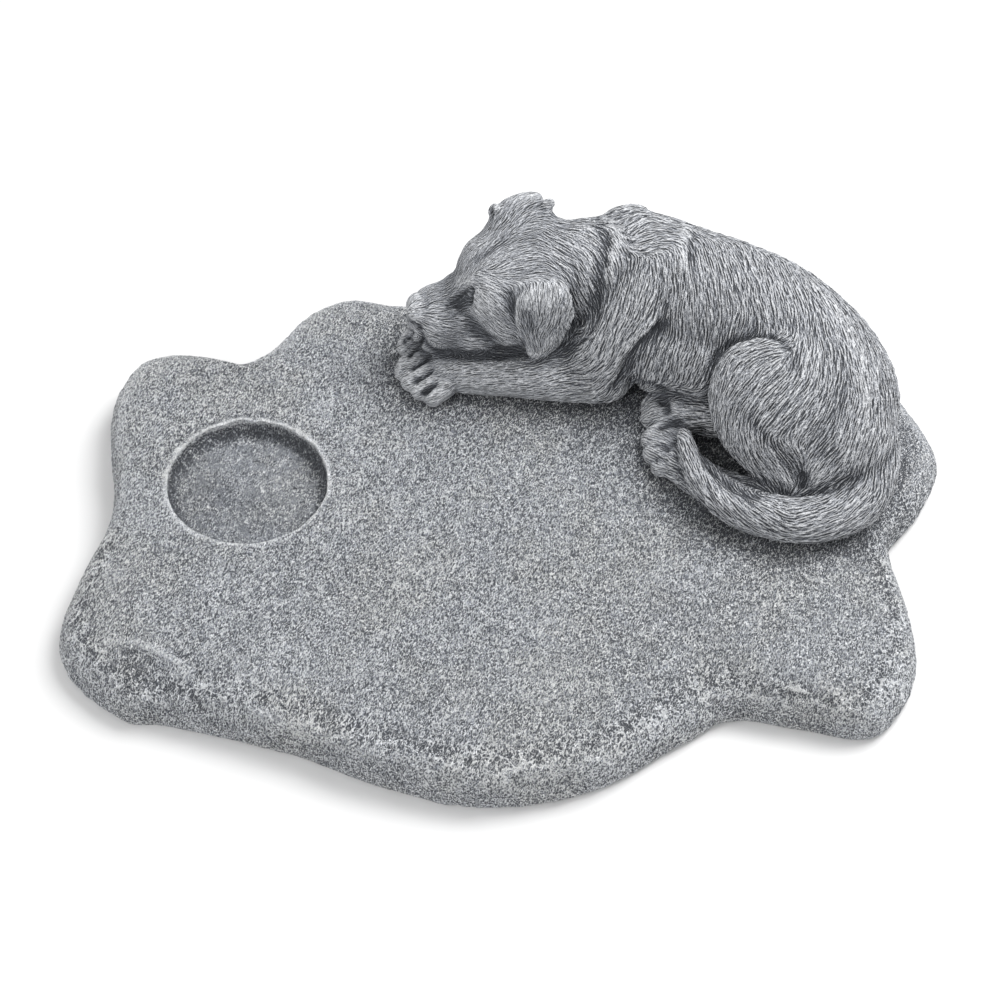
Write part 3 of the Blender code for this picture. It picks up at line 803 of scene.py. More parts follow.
# %% Ease the roots of the ears
def averaged(thing, values, passes):
    """Each pass gives a point the mean of its neighbours' values."""
    ends = np.zeros(len(thing.data.edges) * 2, np.int32)
    thing.data.edges.foreach_get("vertices", ends)
    a, b = ends.reshape(-1, 2).T
    size = len(values)
    count = np.maximum(np.bincount(a, minlength=size) + np.bincount(b, minlength=size), 1)
    for _ in range(passes):
        values = np.stack([
            (np.bincount(a, row[b], size) + np.bincount(b, row[a], size)) / count for row in values.T
        ], -1)
    return values


# reach, passes, then the marks
JOINS = (
    (4.5, 60, (527, 275), (537, 271), (550, 270), (562, 272)),
    (5.5, 160, (488, 226), (505, 222), (520, 222), (540, 222), (560, 222)),
)
for reach, passes, *marks in JOINS:
    points = places(dog)
    which, gap, _ = near_line(points, seen_at(dog, marks), 2.5 * reach)
    share = np.zeros((len(points), 1))
    share[which, 0] = swell(gap, 0, reach)
    put(dog, points + share * (averaged(dog, points, passes) - points))
print(len(JOINS), "joins eased")

# %% [markdown]
# The closed eye, the lips, the turned rim of the ear, the loose skin and the slits between the toes are
# lines on the real dog. A groove could be cut with a Boolean, but a carved line has soft shoulders, so the
# skin sinks by the depth times exp(-(distance / width)^2) round each line. A negative depth raises a fold.

# %% Creases and folds
# depth, width, then the marks
CREASES = (
    # closed eye: the socket, its sharp rear edge, the lid line, the brow and the cheek above and behind
    (1.1, 2.5, (467, 297), (460, 303), (455, 310)),
    (1.1, 1.0, (472, 288), (470, 297), (468, 305)),
    (0.7, 0.7, (472, 288), (461, 293), (452, 300), (446, 307)),
    (-0.3, 1.6, (455, 282), (465, 280), (474, 281)),
    (-0.3, 3.0, (484, 292), (482, 304), (484, 318)),
    (-0.5, 0.9, (407, 299), (409, 311), (415, 321)),
    # nose and lips
    (0.25, 0.8, (412, 300), (415, 310), (420, 321)),
    (0.9, 0.8, (409, 320), (415, 324), (421, 331)),
    (0.8, 1.2, (420, 332), (425, 344), (441, 353), (478, 356), (522, 355)),
    # cheek and forehead
    (0.5, 1.8, (467, 318), (474, 330), (486, 337), (502, 340)),
    (0.45, 1.8, (472, 262), (488, 251), (508, 239)),
    # near ear: the hollow before it, its turned rim and its inner hollow
    (0.55, 2.2, (508, 291), (509, 302), (511, 314)),
    (-0.6, 0.8, (516, 290), (517, 309), (519, 334), (525, 347), (536, 354), (545, 349), (554, 336)),
    (0.6, 2.4, (525, 311), (528, 322), (531, 334)),
    (0.6, 1.0, (566, 288), (565, 298), (562, 308)),
    (-0.4, 1.0, (516, 285), (530, 281), (545, 279)),
    # far ear
    (1.0, 1.0, (489, 208), (490, 212), (491, 216)),
    (0.4, 0.8, (539, 203), (542, 207), (545, 212)),
    # between the tail and the shank
    (1.5, 2.2, (697, 436), (706, 455), (722, 476), (742, 490), (762, 497)),
    # folds at the withers, behind the shoulder and under the arm
    (0.9, 1.9, (598, 222), (606, 240), (602, 268), (596, 300), (590, 328), (575, 345), (562, 352)),
    (-0.9, 2.0, (606, 222), (617, 238), (612, 258), (609, 285)),
    (-0.9, 1.5, (688, 229), (683, 246), (684, 258), (679, 276)),
    (0.7, 1.3, (694, 233), (691, 246), (692, 262)),
    (1.4, 1.4, (664, 323), (655, 331), (640, 345), (631, 358), (624, 374), (613, 393)),
    (-0.5, 1.3, (655, 322), (640, 337), (628, 352)),
    (0.9, 1.4, (626, 388), (645, 393), (668, 392)),
    # thigh, shank and rump
    (1.2, 0.9, (709, 402), (710, 378), (715, 358), (726, 347), (741, 339), (756, 335), (772, 336), (785, 343)),
    (0.6, 1.6, (785, 343), (792, 356), (796, 372)),
    (0.5, 1.6, (745, 415), (762, 434), (776, 449)),
    (0.6, 2.0, (770, 444), (784, 457), (795, 468), (804, 481)),
    (1.3, 1.6, (799, 473), (804, 481), (800, 489)),
    (-0.5, 2.4, (803, 276), (835, 311), (857, 347), (866, 390), (864, 418)),
    # between the toes of both forepaws, then between the paws, then the hind toes
    (1.6, 0.65, (403, 343), (408, 337), (413, 332)),
    (1.7, 0.75, (409, 356), (415, 349), (422, 341)),
    (1.8, 0.7, (411, 369), (420, 363), (429, 357)),
    (1.8, 0.7, (414, 382), (423, 376), (432, 370)),
    (1.8, 0.7, (421, 396), (428, 390), (436, 383)),
    (0.9, 0.9, (660, 401), (667, 405), (668, 413)),
    (1.1, 1.1, (659, 428), (670, 424), (680, 426)),
    (0.7, 0.8, (652, 446), (661, 445), (669, 451)),
    (0.5, 0.8, (653, 461), (661, 459), (667, 463)),
)
# the share of a line over which it fades, and what is left of it at the very end
FADE = 0.12
LEAST = 0.35


def crease(thing, rows):
    """Each point moves along the skin's outward direction by -depth * exp(-(distance / width)^2) for each
    line, less towards the line's ends. Returns the strongest of these at each point."""
    lines = [(depth, width, seen_at(thing, marks)) for depth, width, *marks in rows]
    points, way = places(thing), normals(thing)
    push = np.zeros(len(points))
    strongest = np.zeros(len(points))
    for depth, width, line in lines:
        which, gap, share = near_line(points, line, 3 * width)
        ends = np.clip(np.minimum(share, 1 - share) / FADE, 0, 1) ** 0.5
        sunk = depth * swell(gap, 0, width) * (LEAST + (1 - LEAST) * ends)
        push[which] -= sunk
        strongest[which] = np.where(np.abs(sunk) > np.abs(strongest[which]), sunk, strongest[which])
    put(thing, points + way * push[:, None])
    print(len(lines), "creases, deepest", push.min().round(2), "mm")
    return strongest


# the strongest push at each point is kept as painted shading: painted shade in the creases, a painted highlight
# on the raised folds
painted_shading = crease(dog, CREASES)

# %% [markdown]
# The slab has a few forms of its own that are placed in the same way: a dent with a raised edge in the
# lobe at the front left, and flaky crests along the front edge, as the split edge of a slate has.

# %% Folds in the slab
SLAB_FOLDS = (
    (0.5, 5.0, (118, 664), (146, 674), (170, 684)),
    (-0.6, 1.3, (104, 644), (126, 642), (150, 648), (173, 659), (187, 674), (188, 691)),
    (0.5, 1.2, (192, 694), (198, 704), (202, 714)),
    (-0.5, 1.2, (192, 691), (208, 687), (228, 692), (250, 706), (280, 722), (306, 730)),
    (-0.5, 1.2, (300, 722), (341, 745), (380, 757), (420, 757), (463, 760)),
    (-0.5, 1.2, (470, 782), (488, 785), (512, 775), (540, 769), (565, 768), (595, 765), (620, 758)),
    (-0.35, 1.2, (120, 424), (117, 444), (116, 465)),
    (-0.3, 1.5, (134, 628), (141, 611), (147, 597), (158, 578)),
    (-0.35, 1.3, (700, 690), (735, 694), (770, 704), (800, 706)),
)
# the strongest push at each point is kept as painted shading: painted shade in the dents, a painted highlight
# on the raised edges
slab_painted_shading = crease(slab, SLAB_FOLDS)

# %% [markdown]
# The model stays inside the size that was packed, so the highest folds are eased down under it: what is
# above the knee is pressed into the last millimetre by 1 - exp(-height).

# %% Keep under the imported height
KNEE = 1.0
MARGIN = 0.2
limit = cad_high[2] / MM - MARGIN
points = places(dog)
over = np.maximum(points[:, 2] - (limit - KNEE), 0)
points[:, 2] += KNEE * (1 - np.exp(-over / KNEE)) - over
put(dog, points)
print("highest place, mm:", points[:, 2].max().round(2), "of", round(cad_high[2] / MM, 2))

# %% [markdown]
# The coat is carved as short strokes that follow the lie of the hair: back from the nose, down the flank,
# along the legs and the tail. The lie is given at some places as arrows, again by marks, and for the side
# that the photograph hides as places and ways in space. Everywhere else it is the mean of the arrows,
# each weighted by 1 / distance^4, laid flat on the skin.

# %% The lie of the coat
LIE = (
    # face, crown and cheek
    (412, 298, 428, 290), (432, 290, 452, 281), (440, 312, 458, 309), (425, 325, 445, 333),
    (450, 340, 475, 343), (500, 346, 520, 347), (460, 326, 478, 328), (482, 296, 500, 312),
    (478, 280, 494, 286), (495, 325, 512, 335), (470, 266, 480, 252), (490, 266, 510, 254),
    (468, 246, 476, 230), (490, 240, 503, 226), (505, 222, 518, 207), (525, 207, 537, 200),
    (515, 245, 532, 240), (520, 268, 542, 264), (540, 236, 556, 246), (550, 255, 566, 266),
    # near ear, far ear and neck
    (522, 295, 525, 318), (545, 287, 543, 310), (563, 292, 560, 312), (550, 320, 540, 340),
    (528, 330, 533, 347), (543, 205, 552, 204), (575, 238, 590, 248), (560, 220, 580, 221),
    (590, 255, 600, 272), (577, 285, 586, 303), (588, 300, 594, 315), (565, 328, 577, 337),
    # withers and shoulder
    (628, 232, 642, 221), (640, 243, 656, 238), (612, 236, 620, 248), (640, 262, 634, 285),
    (625, 285, 618, 310), (655, 290, 648, 312), (615, 330, 606, 352), (640, 320, 628, 340),
    (612, 372, 598, 384), (655, 222, 672, 226),
    # foreleg and paw
    (590, 386, 565, 385), (575, 363, 556, 370), (530, 378, 505, 380), (490, 368, 465, 370),
    (450, 380, 432, 386), (430, 362, 418, 366), (440, 352, 422, 353),
    # flank
    (665, 262, 667, 285), (692, 255, 696, 278), (672, 295, 668, 318), (690, 310, 690, 335),
    (660, 335, 652, 358), (645, 360, 640, 380), (680, 350, 674, 372), (700, 360, 692, 380),
    (715, 245, 724, 268), (712, 290, 715, 312), (705, 325, 703, 345), (745, 243, 757, 264),
    (740, 285, 745, 308), (735, 318, 732, 334), (775, 255, 788, 275), (765, 290, 770, 312),
    (770, 315, 772, 330), (795, 285, 803, 305), (805, 320, 807, 342), (800, 350, 796, 370),
    (820, 290, 832, 308), (830, 325, 836, 345), (828, 365, 826, 388), (848, 330, 855, 350),
    (855, 370, 860, 392), (850, 410, 843, 432), (862, 420, 856, 445), (840, 380, 834, 402),
    # beyond the spine
    (880, 330, 889, 350), (886, 380, 889, 402), (880, 430, 874, 452), (860, 302, 873, 318),
    (820, 252, 837, 268), (770, 234, 790, 240), (720, 221, 745, 229),
    # thigh and shank
    (788, 346, 768, 348), (755, 342, 735, 350), (725, 365, 718, 385), (780, 375, 763, 392),
    (750, 385, 737, 402), (810, 385, 795, 405), (780, 415, 765, 432), (820, 420, 805, 440),
    (730, 410, 727, 430), (748, 432, 752, 452), (835, 445, 820, 462), (762, 462, 775, 478),
    (778, 447, 790, 462), (740, 455, 755, 476),
    # tail and hind feet
    (868, 455, 862, 478), (855, 485, 838, 502), (820, 505, 795, 512), (784, 523, 762, 508),
    (744, 514, 729, 494), (714, 494, 704, 470), (697, 462, 689, 442), (832, 516, 808, 526),
    (776, 534, 752, 521), (700, 410, 680, 407), (668, 410, 656, 412), (672, 470, 656, 462),
    (664, 446, 654, 442),
)
# place above the slab's top, then the way of the hair, on the side turned from the camera
HIDDEN_LIE = (
    ((-26, 52, 16), (1, 0.2, 0.1)), ((-14, 62, 14), (1, 0.3, -0.2)), ((0, 66, 20), (1, 0.2, -0.3)),
    ((14, 68, 22), (1, 0, -0.5)), ((30, 71, 24), (0.5, 0.1, -1)), ((30, 68, 8), (-0.3, 0, -1)),
    ((46, 66, 26), (0.5, 0.2, -1)), ((46, 66, 8), (0.3, 0, -1)), ((64, 58, 24), (0.6, 0.1, -1)),
    ((66, 56, 8), (0.4, 0, -1)), ((80, 46, 22), (0.5, -0.1, -1)), ((84, 44, 8), (0.3, -0.1, -1)),
    ((94, 30, 20), (0.3, -0.5, -1)), ((97, 26, 8), (0, -0.5, -1)), ((99, 10, 12), (-0.1, -1, -0.4)),
)

LIE_BLOCKS = 16

starts = seen_at(dog, [(u, v) for u, v, *_ in LIE])
ends = seen_at(dog, [(u, v) for *_, u, v in LIE])
arrow_at = np.vstack([(starts + ends) / 2, [np.array(place) + [0, 0, SLAB_TOP] for place, _ in HIDDEN_LIE]])
arrow_way = unit(np.vstack([ends - starts, [way for _, way in HIDDEN_LIE]]))


def lie_at(points, way):
    """The weighted mean of the arrows, less its part along the skin's outward direction."""
    mean = np.zeros_like(points)
    for block in np.array_split(np.arange(len(points)), LIE_BLOCKS):
        gap = np.sum((points[block, None] - arrow_at[None]) ** 2, axis=2)
        mean[block] = (1 / (gap + 1.0) ** 2) @ arrow_way
    mean -= way * np.sum(mean * way, axis=1, keepdims=True)
    return unit(mean + 1e-9)


points, way = places(dog), normals(dog)
lie = lie_at(points, way)
print(len(arrow_at), "arrows for the coat")

# %% [markdown]
# A stroke of hair is noise that has been smeared along the lie: the mean of the noise at several places
# ahead and behind. What was round becomes long and narrow. The skin is raised and cut by the result. The
# mesh can hold strokes of about a millimetre, and the material adds the finer ones in the same way.

# %% Strokes in the skin
STROKE_SIZE = 0.78
STROKE_HALF = 1.3
STROKE_TAPS = 9
STROKE_CUT = 0.18
STROKE_MOST = 2
STROKE_ASIDE = 0.6
STROKE_SEED = 11
ROOM = 0.6
# length of the hair of the head against the body's, the places along the slab between which it grows, and
# how far round a paw it is shorter still
SHORT_HAIR = 0.6
HEAD_END, BODY_START = 5, 20
PAW_REACH = 8


def smeared(points, lie, across, size, half, seed):
    """The mean of the noise at points + lie * s for even steps of s, less the same half a stroke to the
    side, which takes out what is wider than a stroke. Scaled to a spread of one."""
    mean = 0
    for step in np.linspace(-half, half, STROKE_TAPS):
        ahead = points + lie * step
        mean = mean + noise(ahead, size, seed) - noise(ahead + across, size, seed)
    return mean / mean.std()


beside = np.cross(lie, way) * STROKE_SIZE * STROKE_ASIDE
strokes = smeared(points, lie, beside, STROKE_SIZE, STROKE_HALF, STROKE_SEED)
strokes = np.clip(strokes, -STROKE_MOST, STROKE_MOST)
above = np.clip((points[:, 2] - SLAB_TOP) / SUNK, 0, 1)
room = np.clip((limit - points[:, 2]) / ROOM, 0, 1)
# bold strokes on the body, finer ones on the head and the forelegs, and almost none on the paws
hairy = SHORT_HAIR + (1 - SHORT_HAIR) * np.clip((points[:, 0] - HEAD_END) / (BODY_START - HEAD_END), 0, 1)
for (x, y), *_ in PAWS:
    from_paw = np.linalg.norm(points - DOG_PLACE - [x, y, TOE_RISE], axis=1)
    hairy *= 1 - 0.45 * np.exp(-(from_paw / PAW_REACH) ** 4)
strokes *= np.clip(1.5 * hairy - 0.5, 0.15, 1)
put(dog, points + way * (strokes * STROKE_CUT * above * room)[:, None])
print("strokes, mm:", (strokes.std() * STROKE_CUT).round(3))

# %% [markdown]
# The hollows are painted darker and what stands proud lighter: painted shade and a painted highlight, and on
# the dog also a dark finish settled in the hollows. A material could ask Blender for this, but only in one
# renderer, so it is measured here and kept at the points: it is how far the mean of the neighbourhood lies
# outside a place.

# %% Hollows
def keep(thing, name, values):
    """Stores one number, or a direction, at each corner point for the material."""
    kind = "FLOAT_VECTOR" if values.ndim == 2 else "FLOAT"
    row = thing.data.attributes.new(name, kind, "POINT")
    row.data.foreach_set("vector" if values.ndim == 2 else "value", values.astype(np.float32).ravel())


def hollow(thing, passes, depth):
    """(mean of the neighbourhood - place) along the outward direction, over a depth, from -1 to 1."""
    points = places(thing)
    outside = np.sum((averaged(thing, points, passes) - points) * normals(thing), axis=1)
    return np.clip(outside / depth, -1, 1)


# a shorter arrow gives shorter and finer strokes
keep(dog, "lie", lie * hairy[:, None])
keep(dog, "stroke", strokes / STROKE_MOST)
# path, extra painted shade and width: more painted shade on the tail, the throat and the muzzle, less on the
# foreleg
MUZZLE = np.array(SKULL[3:])[:, :3] @ HEAD_TURN.T + HEAD_PLACE
for path, extra, width in ((TAIL, 0.6, 8), (THROAT, 0.5, 12), (MUZZLE, 0.4, 12), (NEAR_FOREARM, -0.2, 8)):
    which, gap, _ = near_line(places(dog), np.array(path)[:, :3] + DOG_PLACE, 1.3 * width)
    painted_shading[which] += extra * np.exp(-(gap / width) ** 4)
# painted shading: painted shade in the creases and along these paths, a painted highlight on raised folds
keep(dog, "painted_shading", np.clip(painted_shading / 1.2, -0.4, 1.5))
# fold: painted shade in the slab's dents, a painted highlight on its raised edges
keep(slab, "fold", np.clip(slab_painted_shading, -0.6, 0.6))
# crevice: painted shade in the hollows and a painted highlight on what stands proud, on the dog and the slab
keep(dog, "crevice", hollow(dog, 30, 0.5))
keep(slab, "crevice", hollow(slab, 6, 0.25))
kept = ("lie", "stroke", "painted_shading", "crevice")
print("kept on the dog:", [row.name for row in dog.data.attributes if row.name in kept])

# %% [markdown]
# The dog's shadow is painted on the slab, darkest close round the dog. A plan of the dog is drawn on a coarse
# grid, blurred, and read at each point of the slab.

# %% Shade of the dog on the slab
GRID_CORNER = np.array([150, 130])
SHADE_CELLS = 11
SHADE_HEIGHT = 14


def near_dog(points):
    """Share of the ground covered by the dog within a few millimetres: a grid of one millimetre, averaged
    over a box three times, read at each point's cell."""
    grid = np.zeros(2 * GRID_CORNER)
    low_part = places(dog)
    low_part = low_part[low_part[:, 2] < SLAB_TOP + SHADE_HEIGHT]
    grid[tuple((low_part[:, :2] + GRID_CORNER).astype(int).T)] = 1
    box = np.ones(SHADE_CELLS) / SHADE_CELLS
    for _ in range(3):
        for axis in (0, 1):
            grid = np.apply_along_axis(np.convolve, axis, grid, box, "same")
    return grid[tuple((points[:, :2] + GRID_CORNER).astype(int).T)]


slab_now = places(slab)
shade = near_dog(slab_now)
# shade: a painted shadow of the dog on the slab, which also makes the texture stronger there
keep(slab, "shade", shade)
print("shade up to", shade.max().round(2))

# %% [markdown]
# The slab's colour also changes with the place, mostly as painted light and shade: the wall is painted a little
# darker, as shade, the crest along the front and the recess's lip carry a painted highlight, and the recess's
# floor is calmer and painted darker, as shade, with a ring of painted shade where it meets its wall. Each of
# these is one number at each point, from the distances that shaped the slab.

# %% Zones of the slab
HIGHLIGHT_GAP = 0.3
NICHE_WIDTH = 3.2

inset = from_rim(slab_now)
# wall: painted shade on the rolled side, where the texture is also stronger
keep(slab, "wall", np.clip((RIM_ROLL - 0.5 - inset) / 2.5, 0, 1))
# crest: a painted highlight just inside the front edge, where the flaky texture also lies
keep(slab, "crest", swell(inset, RIM_ROLL + 1.5, 3.5) * in_front(slab_now, 0.15))
from_middle = from_recess(slab_now)
below = np.clip((SLAB_TOP - 0.3 - slab_now[:, 2]) / 0.5, 0, 1) * (from_middle < RECESS_RADIUS + 0.9)
# lip: a painted highlight along the recess's edge, wider behind it
lip_highlight = swell(from_middle, RECESS_RADIUS + HIGHLIGHT_GAP, 0.5 + 0.8 * behind_recess(slab_now))
keep(slab, "lip", lip_highlight * (1 - below))
# floor: painted shade on the recess's floor, where the texture is also calmer
inside = np.clip((RECESS_RADIUS + HIGHLIGHT_GAP - from_middle) / 0.6, 0, 1) * (slab_now[:, 2] > 5)
keep(slab, "floor", inside)
# niche: painted shade on the recess's wall and where the floor meets it
niche = np.clip((from_middle - RECESS_RADIUS + NICHE_WIDTH + 0.4) / NICHE_WIDTH, 0, 1) ** 2
keep(slab, "niche", below * niche)
print("points in the recess:", int((inside > 0.5).sum()))

# %% [markdown]
# Both materials are mixed from a few kinds of node. They could be wired by hand in the shader editor, but
# the same small steps come again and again, so a helper adds a node, sets what is a number and links what
# is another node's output. Each material adds up one amount of light or dark, and a ramp turns it to grey.

# %% Material helpers
def recipe(name, roughness):
    """A new material, its nodes, its shader, and the function that adds a node to them."""
    material = bpy.data.materials.new(name)
    material.use_nodes = True
    tree = material.node_tree
    shader = tree.nodes["Principled BSDF"]
    shader.inputs["Roughness"].default_value = roughness

    def add(kind, *values, out=0, **settings):
        """A node with its inputs in order, None for one left alone. Returns its output."""
        made = tree.nodes.new("ShaderNode" + kind)
        for key, value in settings.items():
            setattr(made, key, value)
        for k, value in enumerate(values):
            if value is None:
                continue
            if isinstance(value, bpy.types.NodeSocket):
                tree.links.new(value, made.inputs[k])
            else:
                made.inputs[k].default_value = value
        return made.outputs[out]

    return material, tree, shader, add


def speckle(add, where, size, detail, rough=0.5):
    """A noise whose features have a size in millimetres."""
    return add("TexNoise", where, None, 1 / (size * MM), detail, rough)


def centred(add, texture):
    """A noise about 0 in place of 0.5."""
    return add("Math", texture, 0.5, operation="SUBTRACT")


def weighed(add, amount, rows):
    """amount + source * weight, for each row in turn."""
    for source, weight in rows:
        amount = add("Math", source, weight, amount, operation="MULTIPLY_ADD")
    return amount


def tone(add, amount, stops):
    """A colour ramp: from 0 to 1, through the given greys."""
    made = add("ValToRGB", amount)
    ramp = made.node.color_ramp
    for k, (place, colour) in enumerate(stops):
        stop = ramp.elements[k] if k < 2 else ramp.elements.new(place)
        stop.position, stop.color = place, (*colour, 1)
    return made


print("helpers: recipe, speckle, centred, weighed, tone")

# %% [markdown]
# The hair is finer than the mesh can hold, so the material draws the rest of it in the same way: a noise
# smeared along the lie, less the same half a pitch to the side. What is raised is light and what is cut is
# dark: partly a dark finish rubbed off the raised hair, partly a painted highlight and painted shade on the
# strokes. The painted shade of the hollows and the creases and a fine dust are added, and the same strokes also
# go into the bump.

# %% The coat's material
HAIR_SIZE = 0.42
HAIR_HALF = 0.95
HAIR_TAPS = 7
HAIR_PITCH = 0.58
NOISE_SPREAD = 0.075


def smear(add, place, way, size, half):
    """The mean of the noise at several places along the lie."""
    total = None
    for step in np.linspace(-half, half, HAIR_TAPS):
        moved = add("VectorMath", way, (step * MM,) * 3, place, operation="MULTIPLY_ADD")
        grain = speckle(add, moved, size, 0.0)
        total = grain if total is None else add("Math", total, grain, operation="ADD")
    return total


coat, tree, shader, add = recipe("cast_stone_coat", 0.8)
place = add("TexCoord", out=3)
lie_way = add("Attribute", out=1, attribute_name="lie")
outward = add("NewGeometry", out=1)
across = add("VectorMath", lie_way, outward, operation="CROSS_PRODUCT")
beside = add("VectorMath", across, (HAIR_PITCH / 2 * MM,) * 3, place, operation="MULTIPLY_ADD")
here, there = (smear(add, spot, lie_way, HAIR_SIZE, HAIR_HALF) for spot in (place, beside))
locks = add("Math", here, there, operation="SUBTRACT")
hair = add("Math", locks, NOISE_SPREAD * HAIR_TAPS, operation="DIVIDE")
coarse = add("Attribute", out=2, attribute_name="stroke")
crevice = add("Attribute", out=2, attribute_name="crevice")
painted_shading_amount = add("Attribute", out=2, attribute_name="painted_shading")
dust = speckle(add, place, 0.45, 2.0)
patch = speckle(add, place, 9, 2.0)
# short hair is also fainter
bold = add("MapRange", add("VectorMath", lie_way, out=1, operation="LENGTH"), SHORT_HAIR, 1.0, 0.25, 0.4)
# raised hair light, cut hair dark: partly a dark finish rubbed off, partly a painted highlight and painted
# shade on the strokes
amount = add("Math", hair, bold, 0.52, operation="MULTIPLY_ADD")
# the mesh's strokes lighter, then painted shade in the hollows and the creases, then fine dust and patches
amount = weighed(add, amount, (
    (coarse, 0.07), (crevice, -0.36), (painted_shading_amount, -0.3), (centred(add, dust), 0.4),
    (centred(add, patch), 0.2),
))
colour = tone(add, amount, (
    (0.0, (0.055, 0.06, 0.07)), (1.0, (0.74, 0.755, 0.78)), (0.25, (0.15, 0.159, 0.178)),
    (0.5, (0.285, 0.298, 0.325)), (0.75, (0.49, 0.505, 0.535)),
))
tree.links.new(colour, shader.inputs["Base Color"])
height = add("Math", hair, 0.5, add("Math", dust, 0.3, operation="MULTIPLY"), operation="MULTIPLY_ADD")
bump = add("Bump", 1.0, 0.0004, None, height)
tree.links.new(bump, shader.inputs["Normal"])
dog.data.materials.clear()
dog.data.materials.append(coat)
print("coat:", len(tree.nodes), "nodes")

# %% [markdown]
# The slab has no strokes. Its skin is a net of thin light ridges over a fine grain, brushed a little one way,
# with a few broad ridges, dark pits and light flecks. A ridge is drawn where a noise crosses its middle. The
# zones that were kept at the points add painted light and shade or make it calmer, and larger noises keep it
# from looking the same all over.

# %% Textures of the slab
stone, tree, shader, add = recipe("cast_stone_slab", 0.85)
place = add("TexCoord", out=3)
ZONES = ("crevice", "shade", "lip", "wall", "crest", "floor", "niche", "fold")
zone = {name: add("Attribute", out=2, attribute_name=name) for name in ZONES}


def ridges(where, size, width, detail=1.0):
    """Thin light lines where the noise crosses its middle: 1 - |noise - 0.5| / width, not below 0."""
    gap = add("Math", centred(add, speckle(add, where, size, detail)), operation="ABSOLUTE")
    return add("MapRange", gap, 0.0, width, 1.0, 0.0)


brushed = add("Mapping", place, None, (0.0, 0.0, -0.4), (1.0, 2.2, 1.7), vector_type="TEXTURE")
fine_ridges = ridges(brushed, 0.54, 0.065)
broad_ridges = ridges(brushed, 1.3, 0.03, 2.0)
veins = ridges(place, 5.0, 0.03, 3.0)
grain = speckle(add, brushed, 0.32, 1.0, 0.6)
patch = speckle(add, place, 16, 3.0, 0.6)
lumps = speckle(add, place, 2.8, 2.0, 0.6)
# one spot in each cell of 1.5 mm, and one chance for each cell, so that only a few of them show
spot = add("TexVoronoi", place, None, 1 / (1.5 * MM))
lucky = add("SeparateColor", add("TexVoronoi", place, None, 1 / (1.5 * MM), out=1))
pit = add(
    "Math", add("MapRange", spot, 0.12, 0.24, 1.0, 0.0), add("MapRange", lucky, 0.92, 0.94, 0.0, 1.0),
    operation="MULTIPLY",
)
fleck = add(
    "Math", add("MapRange", spot, 0.16, 0.3, 1.0, 0.0), add("MapRange", lucky, 0.10, 0.07, 0.0, 1.0),
    operation="MULTIPLY",
)
print("slab:", len(tree.nodes), "nodes for its textures")

# %% [markdown]
# The textures are added up to one amount. On the wall, on the recess's floor and in the painted shadow of the
# dog the texture itself is stronger or fainter, which a plain sum can't do, so it is multiplied by how calm the
# place is before the zones of painted light and shade are added. The large patches are a little warmer, as damp
# cement dries.

# %% The slab's material
RIDGE_MEAN = 0.28

texture = add("Math", centred(add, grain), 2.9, operation="MULTIPLY")
above_mean = add("Math", fine_ridges, RIDGE_MEAN, operation="SUBTRACT")
texture = add("Math", above_mean, 1.6, texture, operation="MULTIPLY_ADD")
calm = add("Math", zone["wall"], 0.45, 1.0, operation="MULTIPLY_ADD")
calm = weighed(add, calm, ((zone["floor"], -0.55), (zone["shade"], 0.5), (centred(add, lumps), 1.6)))
amount = add("Math", texture, calm, 0.625, operation="MULTIPLY_ADD")
vein = add("Math", veins, zone["crest"], operation="MULTIPLY")
loose = add("Math", broad_ridges, 0.3, operation="SUBTRACT")
loose = add("Math", loose, zone["crest"], operation="MULTIPLY")
# painted light and shade: the hollows, the dog's shadow, the lip, the wall, the crest, the floor, the niche and
# the folds; the rest is texture
amount = weighed(add, amount, (
    (centred(add, patch), 0.5), (centred(add, lumps), 0.3), (zone["crevice"], -0.3), (zone["shade"], -0.95),
    (zone["lip"], 0.5), (zone["wall"], -0.06), (zone["crest"], 0.08), (zone["floor"], -0.19),
    (zone["niche"], -0.3), (zone["fold"], -0.3), (pit, -0.6), (fleck, 0.45), (broad_ridges, 0.6),
    (loose, 1.8), (vein, 1.5),
))
colour = tone(add, amount, (
    (0.0, (0.07, 0.076, 0.088)), (1.0, (0.93, 0.95, 0.98)), (0.25, (0.195, 0.208, 0.233)),
    (0.5, (0.335, 0.356, 0.396)), (0.75, (0.537, 0.56, 0.602)),
))
warmth = add("MapRange", speckle(add, place, 22, 3.0, 0.6), 0.45, 0.6, 0.0, 1.0)
colour = add("MixRGB", warmth, colour, (1.0, 0.99, 0.965, 1.0), blend_type="MULTIPLY")
tree.links.new(colour, shader.inputs["Base Color"])
height = add("Math", fine_ridges, 0.5, grain, operation="MULTIPLY_ADD")
height = weighed(add, height, ((broad_ridges, 0.4), (lumps, 1.2), (pit, -0.8)))
bump = add("Bump", 1.0, 0.0007, None, height)
tree.links.new(bump, shader.inputs["Normal"])
slab.data.materials.clear()
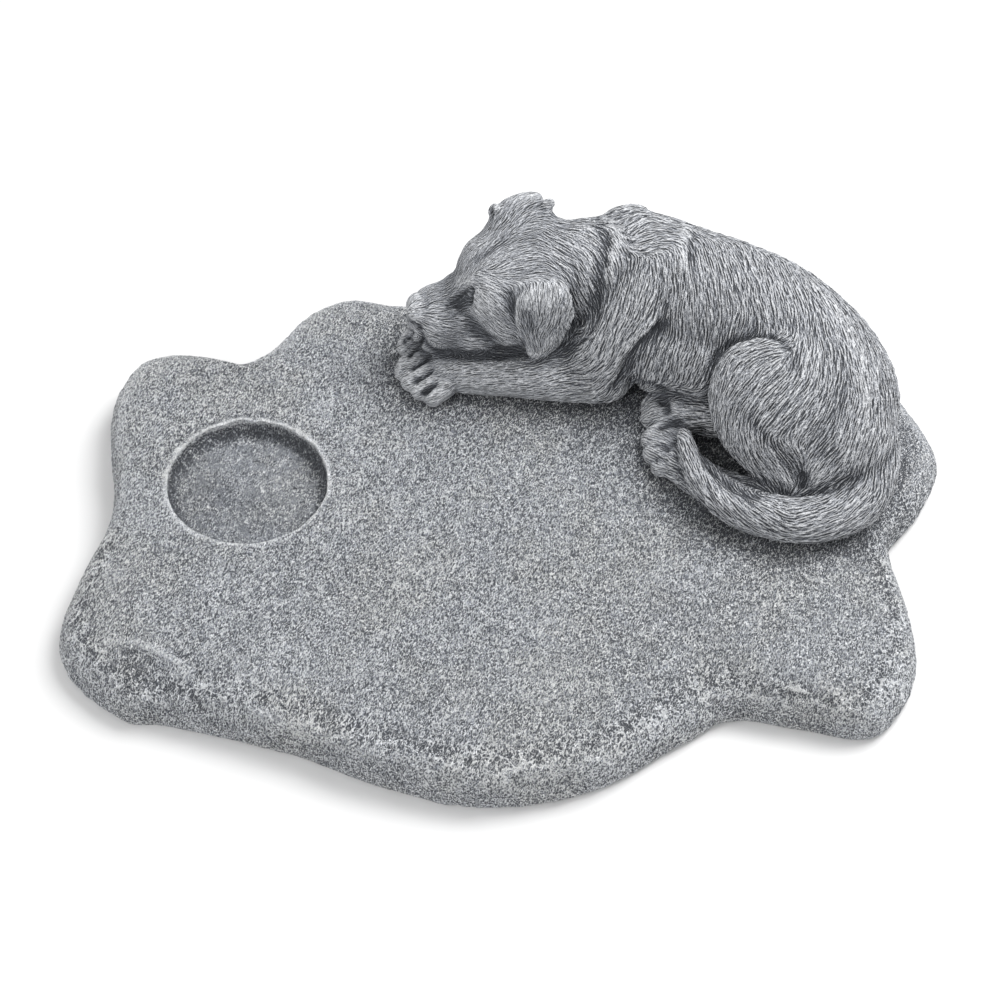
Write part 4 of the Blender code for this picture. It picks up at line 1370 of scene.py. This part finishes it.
slab.data.materials.append(stone)
print("slab:", len(tree.nodes), "nodes")

# %% [markdown]
# Both surfaces belong to the one casting. They stay two objects, because the fine dog and the plainer slab
# need different points and different materials, and the dog's foot reaches a little way into the slab, so
# no gap can show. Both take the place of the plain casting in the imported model.

# %% The pieces of the casting
for piece in (slab, dog):
    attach(piece, "root")
    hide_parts(NODE)
    print(piece.name, "has", triangles(piece), "triangles")

# %% [markdown]
# The studio is a pale paper floor, an even white surround, one soft lamp from behind the right shoulder of
# the slab, as the photograph's shadows ask, and a weaker one from the front left to open the shadows.

# %% Floor and light
FLOOR_HALF = 3.0
MIDDLE = (0, 0, 0.02)

floor_mesh = bpy.data.meshes.new("floor")
floor_corners = [(x * FLOOR_HALF, y * FLOOR_HALF, 0) for x, y in ((-1, -1), (1, -1), (1, 1), (-1, 1))]
floor_mesh.from_pydata(floor_corners, [], [(0, 1, 2, 3)])
floor = new_object("floor", floor_mesh)
paper = bpy.data.materials.new("floor_paper")
paper.use_nodes = True
paper_shader = paper.node_tree.nodes["Principled BSDF"]
paper_shader.inputs["Base Color"].default_value = (0.86, 0.86, 0.86, 1)
paper_shader.inputs["Roughness"].default_value = 0.9
floor_mesh.materials.append(paper)

bpy.context.scene.view_settings.view_transform = "Standard"
world = bpy.data.worlds.new("studio")
bpy.context.scene.world = world
world.use_nodes = True
surround = world.node_tree.nodes["Background"]
surround.inputs["Color"].default_value = (1, 1, 1, 1)
surround.inputs["Strength"].default_value = 0.5


def soft_light(name, place, size, power):
    """A square lamp, its side in metres and its power in watts, that looks at the middle of the slab."""
    lamp = new_object(name, bpy.data.lights.new(name, "AREA"))
    lamp.data.size, lamp.data.energy = size, power
    lamp.location = place
    lamp.rotation_mode = "QUATERNION"
    lamp.rotation_quaternion = (Vector(MIDDLE) - Vector(place)).to_track_quat("-Z", "Y")


soft_light("key_light", (0.38, 0.25, 0.68), size=0.45, power=6.3)
soft_light("fill_light", (-0.45, -0.6, 0.6), size=0.6, power=2.9)
